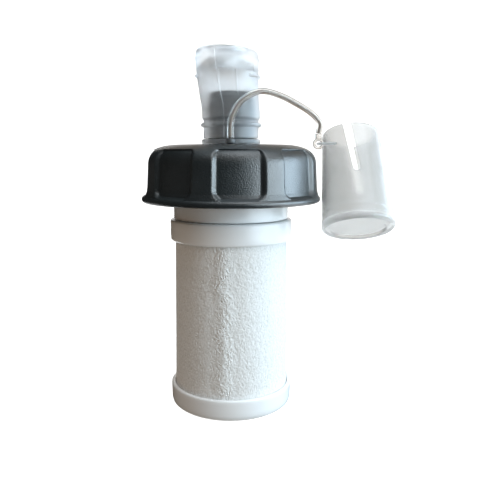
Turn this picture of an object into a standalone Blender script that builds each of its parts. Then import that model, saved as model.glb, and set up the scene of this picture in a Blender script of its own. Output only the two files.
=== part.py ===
"""Screw-cap bottle filter: a wide-mouth cap with a drinking spout, and a filter cartridge under it.

The origin is the centre of the flat underside of the cartridge. +Z is up, and the tether leaves the
spout at the front, which is -Y.
"""

import math

import bmesh
import bpy
from mathutils import Matrix, Vector

MM = 0.001

# Clearances between pieces
SEAT_GAP = 0.3 * MM
SLIDE_GAP = 0.4 * MM
SEAL_GAP = 0.15 * MM

# Facets round a full turn
CAP_FACETS = 48
CARTRIDGE_FACETS = 40
SPOUT_FACETS = 32
INNER_FACETS = 24
RING_SECTION_FACETS = 6
PIN_FACETS = 12

# Cartridge
LOWER_CAP_RADIUS = 24.3 * MM
LOWER_CAP_HEIGHT = 8.2 * MM
LOWER_CAP_EDGE = 2.2 * MM
LOWER_CAP_TAPER = 0.3 * MM
END_CAP_WALL = 1.5 * MM
END_CAP_FLOOR = 2.0 * MM
CORE_SPIGOT_HEIGHT = 3.0 * MM
UPPER_CAP_RADIUS = 24.6 * MM
UPPER_CAP_HEIGHT = 8.4 * MM
UPPER_CAP_EDGE = 0.6 * MM
UPPER_CAP_TOP = 74.2 * MM
SLEEVE_THICKNESS = 1.4 * MM
BLOCK_GASKET_THICKNESS = 1.2 * MM
CORE_OUTER_RADIUS = 8.0 * MM
CORE_WALL = 2.6 * MM
CORE_HOLE_RADIUS = 1.6 * MM
CORE_HOLE_ROWS = 4
CORE_HOLES_ROUND = 4
OUTLET_RADIUS = 5.0 * MM

# Collar and its outlet nipple
COLLAR_RADIUS = 23.2 * MM
COLLAR_WALL = 2.0 * MM
COLLAR_EDGE = 0.8 * MM
COLLAR_HUB_RADIUS = 12.0 * MM
COLLAR_GASKET_THICKNESS = 1.2 * MM
NIPPLE_RADIUS = 8.6 * MM
NIPPLE_HEIGHT = 13.2 * MM
NIPPLE_LEAD = 0.8 * MM
O_RING_SECTION = 0.8 * MM
O_RING_HEIGHTS = (4.0 * MM, 8.6 * MM)

# Screw cap
COLLAR_SHOWN = 6.8 * MM
CAP_HEIGHT = 22.9 * MM
CAP_TOP_THICKNESS = 3.4 * MM
CAP_BEAD_RADIUS = 36.0 * MM
CAP_BEAD_HALF_HEIGHT = 1.4 * MM
CAP_BEAD_PROJECTION = 1.2 * MM
CAP_FLARE_HEIGHT = 2.0 * MM
CAP_BARREL_DRAFT = 0.4 * MM
CAP_SHOULDER = 6.0 * MM
CAP_SKIRT_WALL = 3.0 * MM
CAP_BORE_CHAMFER = 0.7 * MM
SOCKET_WALL = 2.5 * MM
STEM_HOLE_RADIUS = 7.0 * MM
STEM_HOLE_LAND = 2.6 * MM
STEM_SEAT_DEPTH = 1.8 * MM
GASKET_WIDTH = 4.7 * MM
GASKET_THICKNESS = 1.5 * MM

# Grip pockets in the cap's barrel
POCKET_COUNT = 8
POCKET_TURN = math.radians(4.7)
POCKET_WIDTH = 18.4 * MM
POCKET_DEPTH = 1.6 * MM
POCKET_SIDE_SLOPE = math.radians(40.0)
POCKET_BELOW_TOP = 1.9 * MM
POCKET_ABOVE_BOTTOM = 2.8 * MM
POCKET_TOP_CORNER = 1.4 * MM
POCKET_LOW_CORNER = 3.8 * MM

# Air valve in the cap's top
VALVE_OFFSET = 20.0 * MM
VALVE_STEM_RADIUS = 1.2 * MM
VALVE_DISC_RADIUS = 4.6 * MM
VALVE_DISC_THICKNESS = 0.8 * MM
VALVE_HEAD_RADIUS = 2.0 * MM
VALVE_HEAD_THICKNESS = 0.8 * MM
VALVE_VENT_RADIUS = 0.8 * MM
VALVE_VENT_SPACING = 3.4 * MM
VALVE_FACETS = 16

# Spout stem
STEM_RADIUS = 9.2 * MM
STEM_BORE_RADIUS = 5.4 * MM
STEM_FLANGE_RADIUS = 10.0 * MM
STEM_FLANGE_HEIGHT = 2.0 * MM
STEM_TUBE_HEIGHT = 19.0 * MM
STEM_EDGE = 0.8 * MM
STEM_SEAL_SECTION = 0.65 * MM

# Soft mouthpiece
MOUTH_HEIGHT = 35.8 * MM
MOUTH_NECK_RADIUS = 11.1 * MM
MOUTH_NECK_HEIGHT = 7.2 * MM
MOUTH_BEAD_RADIUS = 12.2 * MM
MOUTH_BEAD_CENTRE = 5.4 * MM
MOUTH_BEAD_HALF_HEIGHT = 0.9 * MM
MOUTH_BODY_RADIUS = 11.7 * MM
MOUTH_LIP_RADIUS = 12.95 * MM
MOUTH_LIP_BELOW_TOP = 4.0 * MM
MOUTH_LIP_TAPER = 18.0 * MM
MOUTH_RIM_ROUND = 2.2 * MM
MOUTH_RIM_WIDTH = 4.4 * MM
MOUTH_DISH_DEPTH = 2.2 * MM
MOUTH_DISH_EDGE = 0.7 * MM
MOUTH_MEMBRANE = 1.6 * MM
MOUTH_CHAMBER_RADIUS = 10.3 * MM
MOUTH_DOME_BELOW_LIP = 5.0 * MM
MOUTH_LEAN = 1.65 * MM
MOUTH_LEAN_START = 11.0 * MM
MOUTH_RIM_SLOPE = 0.06
MOUTH_SLIT_LENGTH = 9.0 * MM
MOUTH_SLIT_WIDTH = 0.8 * MM
LUG_BELOW_TOP = 11.0 * MM
LUG_SECTION = 0.8 * MM
LUG_ARC = math.radians(57.0)
LUG_DIRECTIONS = (math.radians(-20.0), math.radians(160.0))

# Tether
TETHER_RING_WALL = 1.5 * MM
TETHER_RING_HEIGHT = 2.0 * MM
TETHER_LUG_OFFSET = 13.9 * MM
TETHER_LUG_RADIUS = 1.9 * MM
CORD_RADIUS = 1.25 * MM
CORD_POINT_COUNT = 21
CURVE_STEP_COUNT = 12
CORD_ROUTE_MM = (
    (0.0, -13.9, 7.1),
    (0.5, -14.1, 10.3),
    (2.1, -14.2, 13.9),
    (4.9, -13.8, 17.3),
    (10.6, -12.1, 20.3),
    (15.6, -10.4, 20.1),
    (21.3, -8.0, 18.3),
    (26.0, -5.9, 16.1),
    (30.4, -3.8, 13.8),
    (33.7, -2.2, 11.4),
    (35.9, -1.0, 8.5),
)

# Loop at the cord's end, and the dust cap that hangs on it
HANG_POINT_MM = (35.4, -0.2, 0.5)
EYE_RING_RADIUS = 1.7 * MM
EYE_WIRE_RADIUS = 0.6 * MM
EYE_NECK_RADIUS = 1.5 * MM
EYE_NECK_HEIGHT = 4.0 * MM
EYE_FACETS = 20
BAIL_WIRE_RADIUS = 0.5 * MM
BAIL_HALF_WIDTH = 2.4 * MM
DUST_TILT = math.radians(-26.5)
DUST_AXIS_OFFSET = 14.7 * MM
DUST_SIDEWAYS = 6.7 * MM
DUST_RIM_ABOVE_HANG = 7.2 * MM
DUST_LENGTH = 41.5 * MM
DUST_BASE_RADIUS = 14.5 * MM
DUST_RIM_RADIUS = 11.9 * MM
DUST_WALL = 1.5 * MM
DUST_FLOOR = 2.0 * MM
DUST_EDGE = 1.4 * MM
DUST_RECESS_RADIUS = 11.0 * MM
DUST_RECESS_DEPTH = 0.8 * MM
DUST_SLOT_LENGTH = 22.0 * MM
DUST_SLOT_RIM_WIDTH = 3.3 * MM
DUST_SLOT_END_WIDTH = 2.7 * MM
DUST_SLOT_TURN = math.radians(-13.0)
DUST_SLOT_LEAN = math.radians(-7.0)
DUST_FACETS = 38

# Sizes that follow from the ones above
CAP_BARREL_RADIUS_LOW = CAP_BEAD_RADIUS - CAP_BEAD_PROJECTION
CAP_BARREL_RADIUS_HIGH = CAP_BARREL_RADIUS_LOW - CAP_BARREL_DRAFT
CAP_BORE_RADIUS = CAP_BARREL_RADIUS_LOW - CAP_SKIRT_WALL
GASKET_RADIUS = CAP_BORE_RADIUS - SEAT_GAP
CAP_BOTTOM = UPPER_CAP_TOP + COLLAR_SHOWN
CAP_TOP = CAP_BOTTOM + CAP_HEIGHT
CAP_CEILING = CAP_TOP - CAP_TOP_THICKNESS
UPPER_CAP_BOTTOM = UPPER_CAP_TOP - UPPER_CAP_HEIGHT
UPPER_CAP_CEILING = UPPER_CAP_TOP - END_CAP_FLOOR
END_CAP_BORE = LOWER_CAP_RADIUS - END_CAP_WALL
SLEEVE_RADIUS = END_CAP_BORE - SEAT_GAP
BLOCK_RADIUS = SLEEVE_RADIUS - SLEEVE_THICKNESS - SEAT_GAP
CORE_BORE_RADIUS = CORE_OUTER_RADIUS - CORE_WALL
ELEMENT_BOTTOM = END_CAP_FLOOR + SEAT_GAP
ELEMENT_TOP = UPPER_CAP_CEILING - SEAT_GAP
COLLAR_BOTTOM = UPPER_CAP_TOP + SEAT_GAP
SOCKET_RADIUS = NIPPLE_RADIUS + SLIDE_GAP
STEM_LEDGE = CAP_TOP - STEM_SEAT_DEPTH - STEM_HOLE_LAND
NIPPLE_TOP = STEM_LEDGE - SLIDE_GAP
COLLAR_TOP = NIPPLE_TOP - NIPPLE_HEIGHT
SOCKET_BOTTOM = COLLAR_TOP + SEAT_GAP
SPOUT_SEAT = CAP_TOP + SEAT_GAP
TETHER_RING_BORE = STEM_FLANGE_RADIUS + SEAT_GAP
TETHER_RING_RADIUS = TETHER_RING_BORE + TETHER_RING_WALL
MOUTH_BOTTOM = SPOUT_SEAT + max(STEM_FLANGE_HEIGHT, TETHER_RING_HEIGHT) + SEAT_GAP
MOUTH_BORE_RADIUS = STEM_RADIUS + SEAT_GAP
STEM_TOP = SPOUT_SEAT + STEM_FLANGE_HEIGHT + STEM_TUBE_HEIGHT
VALVE_HOLE_RADIUS = VALVE_STEM_RADIUS + SEAT_GAP
ROUTE_ORIGIN = Vector((0.0, 0.0, CAP_TOP))
HANG_POINT = ROUTE_ORIGIN + Vector(HANG_POINT_MM) * MM
DUST_BASE_HEIGHT = DUST_RIM_ABOVE_HANG - DUST_LENGTH


def clear_scene():
    for obj in list(bpy.data.objects):
        bpy.data.objects.remove(obj, do_unlink=True)


def new_collection(name):
    collection = bpy.data.collections.new(name)
    bpy.context.scene.collection.children.link(collection)
    return collection


clear_scene()
PARTS = new_collection("bottle_cap_filter")
CUTTERS = new_collection("cutters")


def plastic(name, colour, roughness, transmission=0.0):
    material = bpy.data.materials.new(name)
    material.use_nodes = True
    shader = material.node_tree.nodes["Principled BSDF"]
    shader.inputs["Base Color"].default_value = (*colour, 1.0)
    shader.inputs["Roughness"].default_value = roughness
    shader.inputs["Metallic"].default_value = 0.0
    shader.inputs["Transmission Weight"].default_value = transmission
    return material


def as_cutter(obj):
    for collection in list(obj.users_collection):
        collection.objects.unlink(obj)
    CUTTERS.objects.link(obj)
    obj.hide_render = True
    obj.display_type = "WIRE"
    return obj


def add_mesh(name, mesh, material=None):
    obj = bpy.data.objects.new(name, mesh)
    PARTS.objects.link(obj)
    if material is not None:
        mesh.materials.append(material)
    return obj


def arc(centre_r, centre_z, radius, start_deg, end_deg, segments):
    """Points of a round stretch in an outline, both ends included."""
    points = []
    for i in range(segments + 1):
        angle = math.radians(start_deg + (end_deg - start_deg) * i / segments)
        points.append((centre_r + radius * math.cos(angle), centre_z + radius * math.sin(angle)))
    return points


def turned(name, outline, facets, material=None, ring=True):
    """Turn an outline of (radius, height) points round Z. A ring's outline closes on itself."""
    edges = [(i, i + 1) for i in range(len(outline) - 1)]
    if ring:
        edges.append((len(outline) - 1, 0))
    mesh = bpy.data.meshes.new(name)
    mesh.from_pydata([(r, 0.0, z) for r, z in outline], edges, [])
    obj = add_mesh(name, mesh, material)
    screw = obj.modifiers.new("turn", "SCREW")
    screw.axis = "Z"
    screw.angle = math.tau
    screw.steps = facets
    screw.render_steps = facets
    screw.use_merge_vertices = True
    screw.merge_threshold = 0.001 * MM
    screw.use_smooth_shade = True
    return obj


def tube_outline(outer, inner, bottom, top):
    return [(outer, top), (outer, bottom), (inner, bottom), (inner, top)]


def baked(obj):
    """Swap an object's modifiers, or its curve, for the mesh that they make."""
    bpy.context.view_layer.update()
    evaluated = obj.evaluated_get(bpy.context.evaluated_depsgraph_get())
    mesh = bpy.data.meshes.new_from_object(evaluated)
    welded = bmesh.new()
    welded.from_mesh(mesh)
    bmesh.ops.remove_doubles(welded, verts=welded.verts, dist=0.001 * MM)
    welded.to_mesh(mesh)
    welded.free()
    name = obj.name
    place = obj.matrix_world.copy()
    bpy.data.objects.remove(obj, do_unlink=True)
    solid = add_mesh(name, mesh)
    solid.matrix_world = place
    return solid


def boolean(obj, other, operation):
    modifier = obj.modifiers.new(f"{operation.lower()}_{other.name}", "BOOLEAN")
    modifier.operation = operation
    modifier.solver = "EXACT"
    modifier.object = other
    as_cutter(other)


def rod(name, radius, bottom, top, facets, place=(0.0, 0.0)):
    """An upright round bar between two heights."""
    mesh = bpy.data.meshes.new(name)
    bar = bmesh.new()
    bmesh.ops.create_cone(
        bar, cap_ends=True, segments=facets, radius1=radius, radius2=radius, depth=top - bottom,
        matrix=Matrix.Translation((*place, 0.5 * (bottom + top))))
    bar.to_mesh(mesh)
    bar.free()
    return add_mesh(name, mesh)


def wire(name, points, radius, sides=2, material=None):
    """A round wire along points, with closed ends."""
    curve = bpy.data.curves.new(name, "CURVE")
    curve.dimensions = "3D"
    curve.bevel_depth = radius
    curve.bevel_resolution = sides
    curve.use_fill_caps = True
    spline = curve.splines.new("POLY")
    spline.points.add(len(points) - 1)
    for slot, point in zip(spline.points, points):
        slot.co = (*point, 1.0)
    obj = bpy.data.objects.new(name, curve)
    PARTS.objects.link(obj)
    if material is not None:
        curve.materials.append(material)
    return obj


def flat_plate(name, outline, thickness):
    """A flat outline in XY, thickened to both sides of Z, as a mesh."""
    curve = bpy.data.curves.new(name, "CURVE")
    curve.dimensions = "2D"
    curve.fill_mode = "BOTH"
    curve.extrude = 0.5 * thickness
    spline = curve.splines.new("POLY")
    spline.points.add(len(outline) - 1)
    for slot, (x, y) in zip(spline.points, outline):
        slot.co = (x, y, 0.0, 1.0)
    spline.use_cyclic_u = True
    obj = bpy.data.objects.new(name, curve)
    PARTS.objects.link(obj)
    return baked(obj)


def o_ring(name, centre_radius, section, height, facets, material):
    outline = arc(centre_radius, height, section, 90.0, 90.0 - 360.0, RING_SECTION_FACETS)[:-1]
    return turned(name, outline, facets, material)


def smooth_route(points, count):
    """Evenly spaced points on a smooth curve through the given points."""
    padded = [2 * points[0] - points[1], *points, 2 * points[-1] - points[-2]]
    fine = []
    for a, b, c, d in zip(padded, padded[1:], padded[2:], padded[3:]):
        for step in range(CURVE_STEP_COUNT):
            t = step / CURVE_STEP_COUNT
            fine.append(0.5 * (2 * b + (c - a) * t + (2 * a - 5 * b + 4 * c - d) * t ** 2
                               + (3 * b - a - 3 * c + d) * t ** 3))
    fine.append(points[-1])
    lengths = [0.0]
    for a, b in zip(fine, fine[1:]):
        lengths.append(lengths[-1] + (b - a).length)
    route = []
    index = 0
    for i in range(count):
        target = lengths[-1] * i / (count - 1)
        while index < len(fine) - 2 and lengths[index + 1] < target:
            index += 1
        share = (target - lengths[index]) / (lengths[index + 1] - lengths[index])
        route.append(fine[index].lerp(fine[index + 1], share))
    return route, lengths[-1]


# Materials, coloured as the pieces look
GREY_PP = plastic("grey_polypropylene", (0.075, 0.085, 0.088), 0.55)
STEM_PP = plastic("mid_grey_polypropylene", (0.11, 0.125, 0.13), 0.45)
WHITE_ABS = plastic("white_abs", (0.80, 0.82, 0.84), 0.30)
WHITE_FIBRE = plastic("white_non_woven_fibre", (0.83, 0.84, 0.85), 0.95)
SILICONE = plastic("milky_silicone", (0.72, 0.77, 0.80), 0.40, 0.55)
CLEAR_TPU = plastic("clear_polyurethane", (0.78, 0.80, 0.82), 0.20, 0.80)
FROSTED_PP = plastic("frosted_polypropylene", (0.80, 0.82, 0.84), 0.45, 0.40)
SEAL_RUBBER = plastic("dark_seal_rubber", (0.03, 0.03, 0.03), 0.60)
CARBON = plastic("carbon_block", (0.02, 0.02, 0.02), 0.90)


def make_lower_end_cap():
    radius = LOWER_CAP_RADIUS
    foot = radius - LOWER_CAP_TAPER
    spigot = CORE_BORE_RADIUS - SEAT_GAP
    outline = [(0.0, END_CAP_FLOOR + CORE_SPIGOT_HEIGHT)]
    outline += [(spigot, END_CAP_FLOOR + CORE_SPIGOT_HEIGHT), (spigot, END_CAP_FLOOR)]
    outline += [(END_CAP_BORE, END_CAP_FLOOR), (END_CAP_BORE, LOWER_CAP_HEIGHT)]
    outline += [(radius, LOWER_CAP_HEIGHT)]
    outline += arc(foot - LOWER_CAP_EDGE, LOWER_CAP_EDGE, LOWER_CAP_EDGE, 0.0, -90.0, 4)
    outline += [(0.0, 0.0)]
    return turned("lower_end_cap", outline, CARTRIDGE_FACETS, WHITE_ABS, ring=False)


def make_upper_end_cap():
    radius = UPPER_CAP_RADIUS
    edge = UPPER_CAP_EDGE
    outline = [(OUTLET_RADIUS, UPPER_CAP_TOP)]
    outline += arc(radius - edge, UPPER_CAP_TOP - edge, edge, 90.0, 0.0, 2)
    outline += [(radius, UPPER_CAP_BOTTOM + edge), (radius - edge, UPPER_CAP_BOTTOM)]
    outline += [(END_CAP_BORE, UPPER_CAP_BOTTOM)]
    outline += [(END_CAP_BORE, UPPER_CAP_CEILING), (OUTLET_RADIUS, UPPER_CAP_CEILING)]
    return turned("upper_end_cap", outline, CARTRIDGE_FACETS, WHITE_ABS)


def make_filter_element():
    block_bore = CORE_OUTER_RADIUS + SEAT_GAP
    gasket_low = ELEMENT_BOTTOM + BLOCK_GASKET_THICKNESS
    gasket_high = ELEMENT_TOP - BLOCK_GASKET_THICKNESS
    turned("prefilter_sleeve",
           tube_outline(SLEEVE_RADIUS, SLEEVE_RADIUS - SLEEVE_THICKNESS, ELEMENT_BOTTOM, ELEMENT_TOP),
           CARTRIDGE_FACETS, WHITE_FIBRE)
    turned("block_gasket_bottom", tube_outline(BLOCK_RADIUS, block_bore, ELEMENT_BOTTOM, gasket_low),
           INNER_FACETS, SEAL_RUBBER)
    turned("filter_block",
           tube_outline(BLOCK_RADIUS, block_bore, gasket_low + SEAT_GAP, gasket_high - SEAT_GAP),
           INNER_FACETS, CARBON)
    turned("block_gasket_top", tube_outline(BLOCK_RADIUS, block_bore, gasket_high, ELEMENT_TOP),
           INNER_FACETS, SEAL_RUBBER)


def make_core_tube():
    core = turned("core_tube",
                  tube_outline(CORE_OUTER_RADIUS, CORE_BORE_RADIUS, ELEMENT_BOTTOM, ELEMENT_TOP),
                  INNER_FACETS, WHITE_ABS)
    holes = bpy.data.meshes.new("core_holes")
    drill = bmesh.new()
    spacing = (ELEMENT_TOP - ELEMENT_BOTTOM) / (CORE_HOLE_ROWS + 1)
    middle = 0.5 * (CORE_OUTER_RADIUS + CORE_BORE_RADIUS)
    for row in range(CORE_HOLE_ROWS):
        for index in range(CORE_HOLES_ROUND):
            turn = math.tau * (index + 0.5 * (row % 2)) / CORE_HOLES_ROUND
            place = Matrix.Rotation(turn, 4, "Z")
            place @= Matrix.Translation((middle, 0.0, ELEMENT_BOTTOM + spacing * (row + 1)))
            place @= Matrix.Rotation(math.radians(90.0), 4, "Y")
            bmesh.ops.create_cone(drill, cap_ends=True, segments=8, radius1=CORE_HOLE_RADIUS,
                                  radius2=CORE_HOLE_RADIUS, depth=2.0 * CORE_WALL, matrix=place)
    drill.to_mesh(holes)
    drill.free()
    boolean(core, add_mesh("core_holes", holes), "DIFFERENCE")


def make_outlet_collar():
    gasket_top = COLLAR_BOTTOM + COLLAR_GASKET_THICKNESS
    hub_bottom = gasket_top + SEAT_GAP
    ceiling = COLLAR_TOP - COLLAR_WALL
    groove = SOCKET_RADIUS - SEAL_GAP - 2.0 * O_RING_SECTION - SEAT_GAP
    half_groove = O_RING_SECTION + SEAT_GAP
    outline = [(OUTLET_RADIUS, NIPPLE_TOP), (NIPPLE_RADIUS - NIPPLE_LEAD, NIPPLE_TOP)]
    outline += [(NIPPLE_RADIUS, NIPPLE_TOP - NIPPLE_LEAD)]
    for height in reversed(O_RING_HEIGHTS):
        middle = COLLAR_TOP + height
        outline += [(NIPPLE_RADIUS, middle + half_groove), (groove, middle + half_groove)]
        outline += [(groove, middle - half_groove), (NIPPLE_RADIUS, middle - half_groove)]
    outline += [(NIPPLE_RADIUS, COLLAR_TOP)]
    outline += arc(COLLAR_RADIUS - COLLAR_EDGE, COLLAR_TOP - COLLAR_EDGE, COLLAR_EDGE, 90.0, 0.0, 2)
    outline += [(COLLAR_RADIUS, COLLAR_BOTTOM), (COLLAR_RADIUS - COLLAR_WALL, COLLAR_BOTTOM)]
    outline += [(COLLAR_RADIUS - COLLAR_WALL, ceiling), (COLLAR_HUB_RADIUS, ceiling)]
    outline += [(COLLAR_HUB_RADIUS, hub_bottom), (OUTLET_RADIUS, hub_bottom)]
    turned("outlet_collar", outline, CARTRIDGE_FACETS, WHITE_ABS)
    turned("collar_gasket", tube_outline(COLLAR_HUB_RADIUS, OUTLET_RADIUS, COLLAR_BOTTOM, gasket_top),
           INNER_FACETS, SEAL_RUBBER)
    ring_radius = SOCKET_RADIUS - SEAL_GAP - O_RING_SECTION
    for name, height in zip(("nipple_o_ring_lower", "nipple_o_ring_upper"), O_RING_HEIGHTS):
        o_ring(name, ring_radius, O_RING_SECTION, COLLAR_TOP + height, INNER_FACETS, SEAL_RUBBER)


def pocket_outline():
    """One grip pocket seen square on: small corners at the top, large ones at the bottom."""
    half = 0.5 * POCKET_WIDTH
    top = CAP_TOP - POCKET_BELOW_TOP
    bottom = CAP_BOTTOM + POCKET_ABOVE_BOTTOM
    small = POCKET_TOP_CORNER
    large = POCKET_LOW_CORNER
    outline = arc(half - small, top - small, small, 0.0, 90.0, 2)
    outline += arc(-half + small, top - small, small, 90.0, 180.0, 2)
    outline += arc(-half + large, bottom + large, large, 180.0, 270.0, 5)
    outline += arc(half - large, bottom + large, large, 270.0, 360.0, 5)
    return outline


def pocket_prism():
    """One pocket's cutter, on the front of the cap. Its sides splay outward, and its ends are square."""
    near = CAP_BARREL_RADIUS_HIGH - 3.0 * POCKET_DEPTH
    far = CAP_BEAD_RADIUS + 2.0 * POCKET_DEPTH
    half = 0.5 * POCKET_WIDTH
    at_edge = math.sqrt(CAP_BARREL_RADIUS_HIGH ** 2 - half ** 2)
    slope = math.tan(POCKET_SIDE_SLOPE)
    far_scale = 1.0 + (far - at_edge) * slope / half
    near_scale = 1.0 + (near - at_edge) * slope / half
    prism = bmesh.new()
    outer = [prism.verts.new((x * far_scale, -far, z)) for x, z in pocket_outline()]
    front = prism.faces.new(outer)
    back = bmesh.ops.extrude_face_region(prism, geom=[front])["geom"]
    for vertex in (item for item in back if isinstance(item, bmesh.types.BMVert)):
        vertex.co.x *= near_scale / far_scale
        vertex.co.y = -near
    bmesh.ops.recalc_face_normals(prism, faces=prism.faces)
    return prism


def make_pocket_cutter():
    """Prisms all round the cap, trimmed so that each pocket's floor follows the barrel and shoulder."""
    prism = pocket_prism()
    single = bpy.data.meshes.new("pocket_single")
    prism.to_mesh(single)
    prism.free()
    ring = bmesh.new()
    for index in range(POCKET_COUNT):
        copy = single.copy()
        copy.transform(Matrix.Rotation(POCKET_TURN + math.tau * index / POCKET_COUNT, 4, "Z"))
        ring.from_mesh(copy)
        bpy.data.meshes.remove(copy)
    bpy.data.meshes.remove(single)
    prisms = bpy.data.meshes.new("pocket_prisms")
    ring.to_mesh(prisms)
    ring.free()
    pockets = add_mesh("pocket_prisms", prisms)
    outer = CAP_BEAD_RADIUS + POCKET_DEPTH
    shoulder_r = CAP_BARREL_RADIUS_HIGH - CAP_SHOULDER
    shoulder_z = CAP_TOP - CAP_SHOULDER
    band = [(outer, CAP_TOP), (outer, CAP_BOTTOM), (CAP_BARREL_RADIUS_LOW - POCKET_DEPTH, CAP_BOTTOM)]
    band += arc(shoulder_r, shoulder_z, CAP_SHOULDER - POCKET_DEPTH, 0.0, 90.0, 4)
    band += [(shoulder_r, CAP_TOP)]
    boolean(pockets, turned("pocket_band", band, CAP_FACETS), "INTERSECT")
    return pockets


def make_screw_cap():
    bead_middle = CAP_BOTTOM + CAP_BEAD_HALF_HEIGHT
    bead_round = CAP_BEAD_HALF_HEIGHT
    flare_top = CAP_BOTTOM + 2.0 * CAP_BEAD_HALF_HEIGHT + CAP_FLARE_HEIGHT
    shoulder = CAP_SHOULDER
    socket_outer = SOCKET_RADIUS + SOCKET_WALL
    seat_radius = STEM_HOLE_RADIUS + 2.0 * STEM_SEAL_SECTION + SEAT_GAP
    seat_floor = CAP_TOP - STEM_SEAT_DEPTH
    outline = [(seat_radius, CAP_TOP)]
    outline += arc(CAP_BARREL_RADIUS_HIGH - shoulder, CAP_TOP - shoulder, shoulder, 90.0, 0.0, 6)
    outline += [(CAP_BARREL_RADIUS_LOW, flare_top)]
    outline += arc(CAP_BEAD_RADIUS - bead_round, bead_middle, bead_round, 60.0, -90.0, 5)
    outline += [(CAP_BORE_RADIUS + CAP_BORE_CHAMFER, CAP_BOTTOM)]
    outline += [(CAP_BORE_RADIUS, CAP_BOTTOM + CAP_BORE_CHAMFER), (CAP_BORE_RADIUS, CAP_CEILING)]
    outline += [(socket_outer, CAP_CEILING), (socket_outer, SOCKET_BOTTOM)]
    outline += [(SOCKET_RADIUS, SOCKET_BOTTOM), (SOCKET_RADIUS, STEM_LEDGE)]
    outline += [(STEM_HOLE_RADIUS, STEM_LEDGE), (STEM_HOLE_RADIUS, seat_floor)]
    outline += [(seat_radius, seat_floor)]
    cap = turned("screw_cap", outline, CAP_FACETS, GREY_PP)
    boolean(cap, make_pocket_cutter(), "DIFFERENCE")
    head_floor = CAP_TOP - VALVE_HEAD_THICKNESS - SEAT_GAP
    head_hole = VALVE_HEAD_RADIUS + SEAT_GAP
    place = (0.0, VALVE_OFFSET)
    boolean(cap, rod("valve_head_seat", head_hole, head_floor, CAP_TOP + MM, VALVE_FACETS, place),
            "DIFFERENCE")
    hole_end = CAP_CEILING - MM
    boolean(cap, rod("valve_stem_hole", VALVE_HOLE_RADIUS, hole_end, CAP_TOP, VALVE_FACETS, place),
            "DIFFERENCE")
    for side in (-1.0, 1.0):
        vent_place = (side * VALVE_VENT_SPACING, VALVE_OFFSET)
        vent = rod(f"valve_vent_{'left' if side < 0 else 'right'}", VALVE_VENT_RADIUS, hole_end,
                   CAP_TOP + MM, VALVE_FACETS // 2, vent_place)
        boolean(cap, vent, "DIFFERENCE")


def make_cap_seals():
    gasket_top = CAP_CEILING - SEAT_GAP
    turned("rim_gasket",
           tube_outline(GASKET_RADIUS, GASKET_RADIUS - GASKET_WIDTH, gasket_top - GASKET_THICKNESS,
                        gasket_top), CAP_FACETS, SEAL_RUBBER)
    seal_radius = STEM_HOLE_RADIUS + STEM_SEAL_SECTION
    o_ring("stem_o_ring", seal_radius, STEM_SEAL_SECTION, CAP_TOP - 0.5 * STEM_SEAT_DEPTH, INNER_FACETS,
           SEAL_RUBBER)


def make_air_valve():
    disc_top = CAP_CEILING - SEAT_GAP
    head_bottom = CAP_TOP - VALVE_HEAD_THICKNESS
    disc_bottom = disc_top - VALVE_DISC_THICKNESS
    outline = [(0.0, CAP_TOP), (VALVE_HEAD_RADIUS, CAP_TOP), (VALVE_HEAD_RADIUS, head_bottom)]
    outline += [(VALVE_STEM_RADIUS, head_bottom), (VALVE_STEM_RADIUS, disc_top)]
    outline += [(VALVE_DISC_RADIUS, disc_top), (0.0, disc_bottom)]
    valve = turned("air_valve", outline, VALVE_FACETS, SILICONE, ring=False)
    valve.location = (0.0, VALVE_OFFSET, 0.0)


def make_spout_stem():
    spigot = STEM_HOLE_RADIUS - SEAT_GAP
    flange_top = SPOUT_SEAT + STEM_FLANGE_HEIGHT
    outline = [(STEM_BORE_RADIUS, STEM_TOP)]
    outline += arc(STEM_RADIUS - STEM_EDGE, STEM_TOP - STEM_EDGE, STEM_EDGE, 90.0, 0.0, 2)
    outline += [(STEM_RADIUS, flange_top), (STEM_FLANGE_RADIUS, flange_top)]
    outline += [(STEM_FLANGE_RADIUS, SPOUT_SEAT), (spigot, SPOUT_SEAT)]
    outline += [(spigot, STEM_LEDGE), (STEM_BORE_RADIUS, STEM_LEDGE)]
    turned("spout_stem", outline, SPOUT_FACETS, STEM_PP)


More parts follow.
